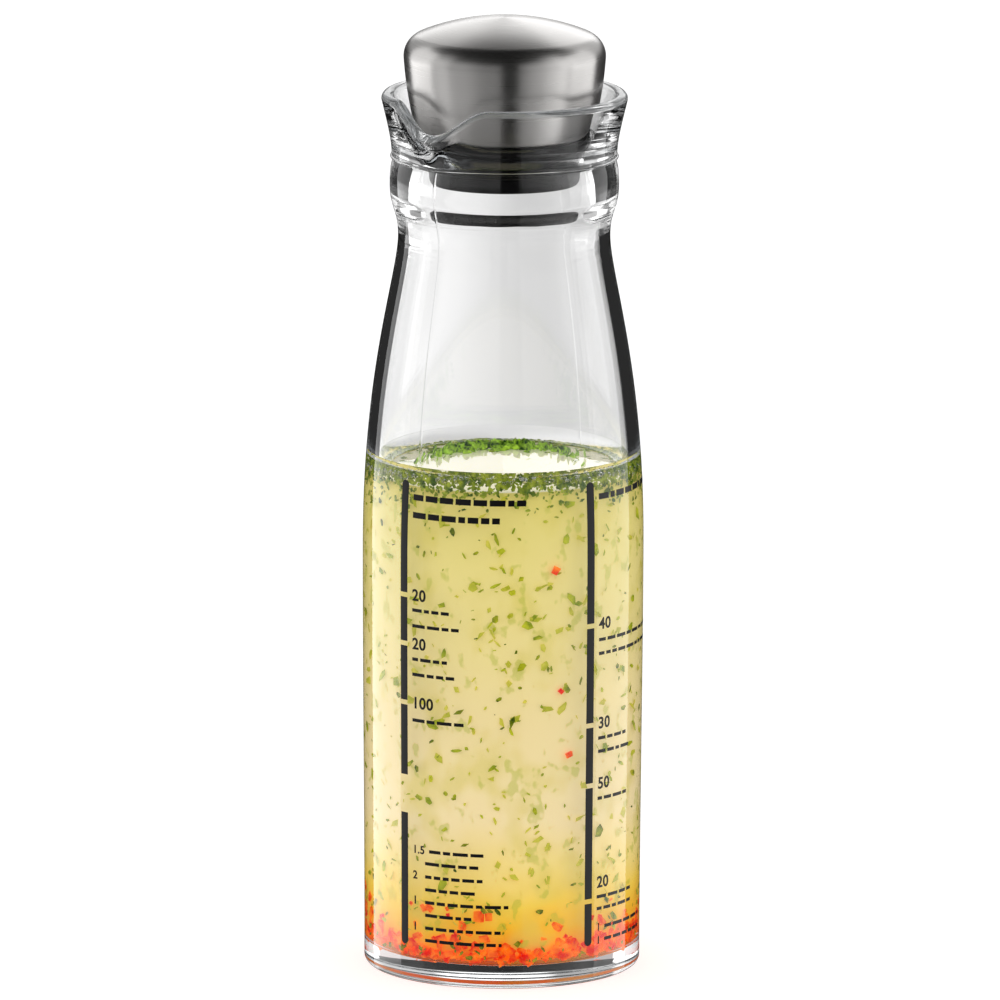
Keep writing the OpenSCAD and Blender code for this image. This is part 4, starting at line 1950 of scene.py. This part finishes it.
    def build_floor(self) -> None:
        """Build the pale floor, which keeps the bottle's soft shadow."""
        material, tree = new_material("pale_matt_floor")
        fine = add_node(
            tree,
            "ShaderNodeTexNoise",
            inputs={"Vector": object_position(tree), "Scale": 1 / 30, "Detail": 2.0},
        )
        tone = add_node(
            tree,
            "ShaderNodeMix",
            {"data_type": "RGBA"},
            {0: fine.outputs[0], 6: srgb("#DCDCDC"), 7: srgb("#DADADA")},
        )
        matt = add_node(
            tree,
            "ShaderNodeBsdfPrincipled",
            inputs={"Base Color": tone.outputs[2], "Roughness": 0.9, "Specular IOR Level": 0.0},
        )
        path = add_node(tree, "ShaderNodeLightPath")
        glow = add_node(tree, "ShaderNodeEmission", inputs={"Strength": 0.5})
        none = add_node(tree, "ShaderNodeEmission", inputs={"Strength": 0.0})
        seen = add_node(
            tree,
            "ShaderNodeMixShader",
            inputs={0: path.outputs["Is Camera Ray"], 1: none.outputs[0], 2: glow.outputs[0]},
        )
        both = add_node(
            tree, "ShaderNodeAddShader", inputs={0: matt.outputs[0], 1: seen.outputs[0]}
        )
        set_surface(tree, both.outputs[0])
        # A hair under the foot, so that the foot's glass and the table don't share one plane
        side, z = 6000.0, -0.05
        corners = [(-side, -side, z), (side, -side, z), (side, side, z), (-side, side, z)]
        floor = mesh_piece("floor", corners, [(0, 1, 2, 3)], material)
        floor.visible_glossy = False
        floor.visible_transmission = False
        floor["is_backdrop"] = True

    def build_camera(self) -> None:
        """Build the camera at the photograph's viewing angle."""
        data = bpy.data.cameras.new("camera")
        data.lens = self.lens_mm
        data.sensor_width = 36.0
        data.clip_end = 100.0
        camera = bpy.data.objects.new("camera", data)
        bpy.context.scene.collection.objects.link(camera)
        e = math.radians(self.elevation)
        back = Vector((0, -math.cos(e), math.sin(e)))
        aim = Vector((self.aim_x_mm, 0, self.aim_z_mm))
        camera.location = (aim + back * self.distance_mm) * MM
        rotation = (-back).to_track_quat("-Z", "Y").to_matrix()
        rotation @= Matrix.Rotation(math.radians(self.roll), 3, "Z")
        camera.rotation_euler = rotation.to_euler()
        bpy.context.scene.camera = camera

    def build(self) -> None:
        """Build the studio and let light pass through all the glass."""
        scene = bpy.context.scene
        scene.view_settings.view_transform = "Standard"
        scene.cycles.max_bounces = 24
        scene.cycles.transmission_bounces = 24
        scene.cycles.glossy_bounces = 16
        scene.cycles.transparent_max_bounces = 32
        scene.cycles.use_denoising = True
        self.build_camera()
        self.build_world()
        self.build_floor()


def scale_columns() -> tuple[ScaleColumn, ...]:
    """Columns of the printed scale: the two that the photograph shows.

    Returns:
        The columns, in the order in which they stand round the bottle.
    """
    first = ScaleColumn(
        azimuth=-44.5,
        top_z=105.5,
        bottom_z=8.0,
        gaps=((81.1, 82.1), (70.9, 71.9), (58.5, 59.5), (35.8, 43.8)),
        numbers=(
            (80.7, 2.4, "20"),
            (70.5, 2.4, "20"),
            (58.1, 2.4, "100"),
            (27.6, 1.7, "1.5"),
            (22.2, 1.7, "2"),
            (16.9, 1.7, "1"),
            (11.4, 1.7, "1"),
        ),
        rows=(
            (101.6, 1.25, 2.3, 27.0),
            (97.9, 1.25, 2.3, 21.7),
            (78.3, 0.7, 2.3, 11.9),
            (75.0, 0.7, 2.3, 13.3),
            (68.0, 0.7, 2.3, 11.7),
            (64.8, 0.7, 2.3, 12.3),
            (55.2, 0.7, 2.3, 14.3),
            (27.9, 0.7, 6.4, 19.2),
            (25.3, 0.7, 5.4, 17.3),
            (22.5, 0.7, 5.4, 18.8),
            (19.8, 0.7, 5.4, 17.3),
            (17.1, 0.7, 5.4, 23.5),
            (14.4, 0.7, 5.4, 15.8),
            (11.7, 0.7, 5.4, 21.9),
            (9.1, 0.7, 5.4, 22.1),
        ),
    )
    second = ScaleColumn(
        azimuth=38.5,
        top_z=105.5,
        bottom_z=8.0,
        gaps=((74.9, 75.9), (54.0, 55.0), (41.3, 42.3), (16.9, 17.9)),
        numbers=(
            (74.5, 2.4, "40"),
            (53.6, 2.4, "30"),
            (40.9, 2.4, "50"),
            (20.0, 2.4, "20"),
            (10.9, 1.6, "1"),
            (8.1, 1.6, "1"),
        ),
        rows=(
            (101.6, 1.25, 2.3, 26.0),
            (71.9, 0.7, 2.3, 26.0),
            (69.0, 0.7, 2.3, 25.0),
            (51.2, 0.7, 2.3, 11.6),
            (48.4, 0.7, 2.3, 13.5),
            (38.5, 0.7, 2.3, 12.5),
            (17.7, 0.7, 2.3, 14.5),
            (15.2, 0.7, 2.3, 15.5),
            (11.3, 0.7, 4.6, 20.0),
            (8.6, 0.7, 4.6, 20.0),
        ),
    )
    return first, second


def write_sizes() -> None:
    """Gather the box of the CAD model and the box of the look model, without writing them anywhere."""
    boxes = {"cad": CAD_BOX, "visual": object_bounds()}
    rows = {name: [list(low), list(high)] for name, (low, high) in boxes.items()}


def main() -> None:
    """Build the studio, the bottle, its stopper, its print and its dressing."""
    logging.basicConfig(level=logging.INFO, format="%(name)s: %(message)s")
    Studio().build()
    bottle = GlassBottle()
    LOG.info("%s: %d faces", "bottle_glass", len(bottle.build().data.polygons))
    stopper = PushInStopper(bottle)
    for piece in (stopper.build_cap(), stopper.build_seal()):
        LOG.info("%s: %d faces", piece.name, len(piece.data.polygons))
    stopper.dress_core()
    PrintedScale(bottle, scale_columns()).build()
    dressing = Dressing(bottle)
    pieces = [dressing.build_liquid(), dressing.build_cloud()]
    pieces += [dressing.build_flakes(depth) for depth in Depth]
    pieces += [dressing.build_raft(), dressing.build_heap(), dressing.build_pepper(), dressing.build_bottom_herbs()]
    pieces.append(dressing.build_bubbles())
    for piece in pieces:
        LOG.info("%s: %d faces", piece.name, len(piece.data.polygons))
    write_sizes()


if __name__ == "__main__":
    main()
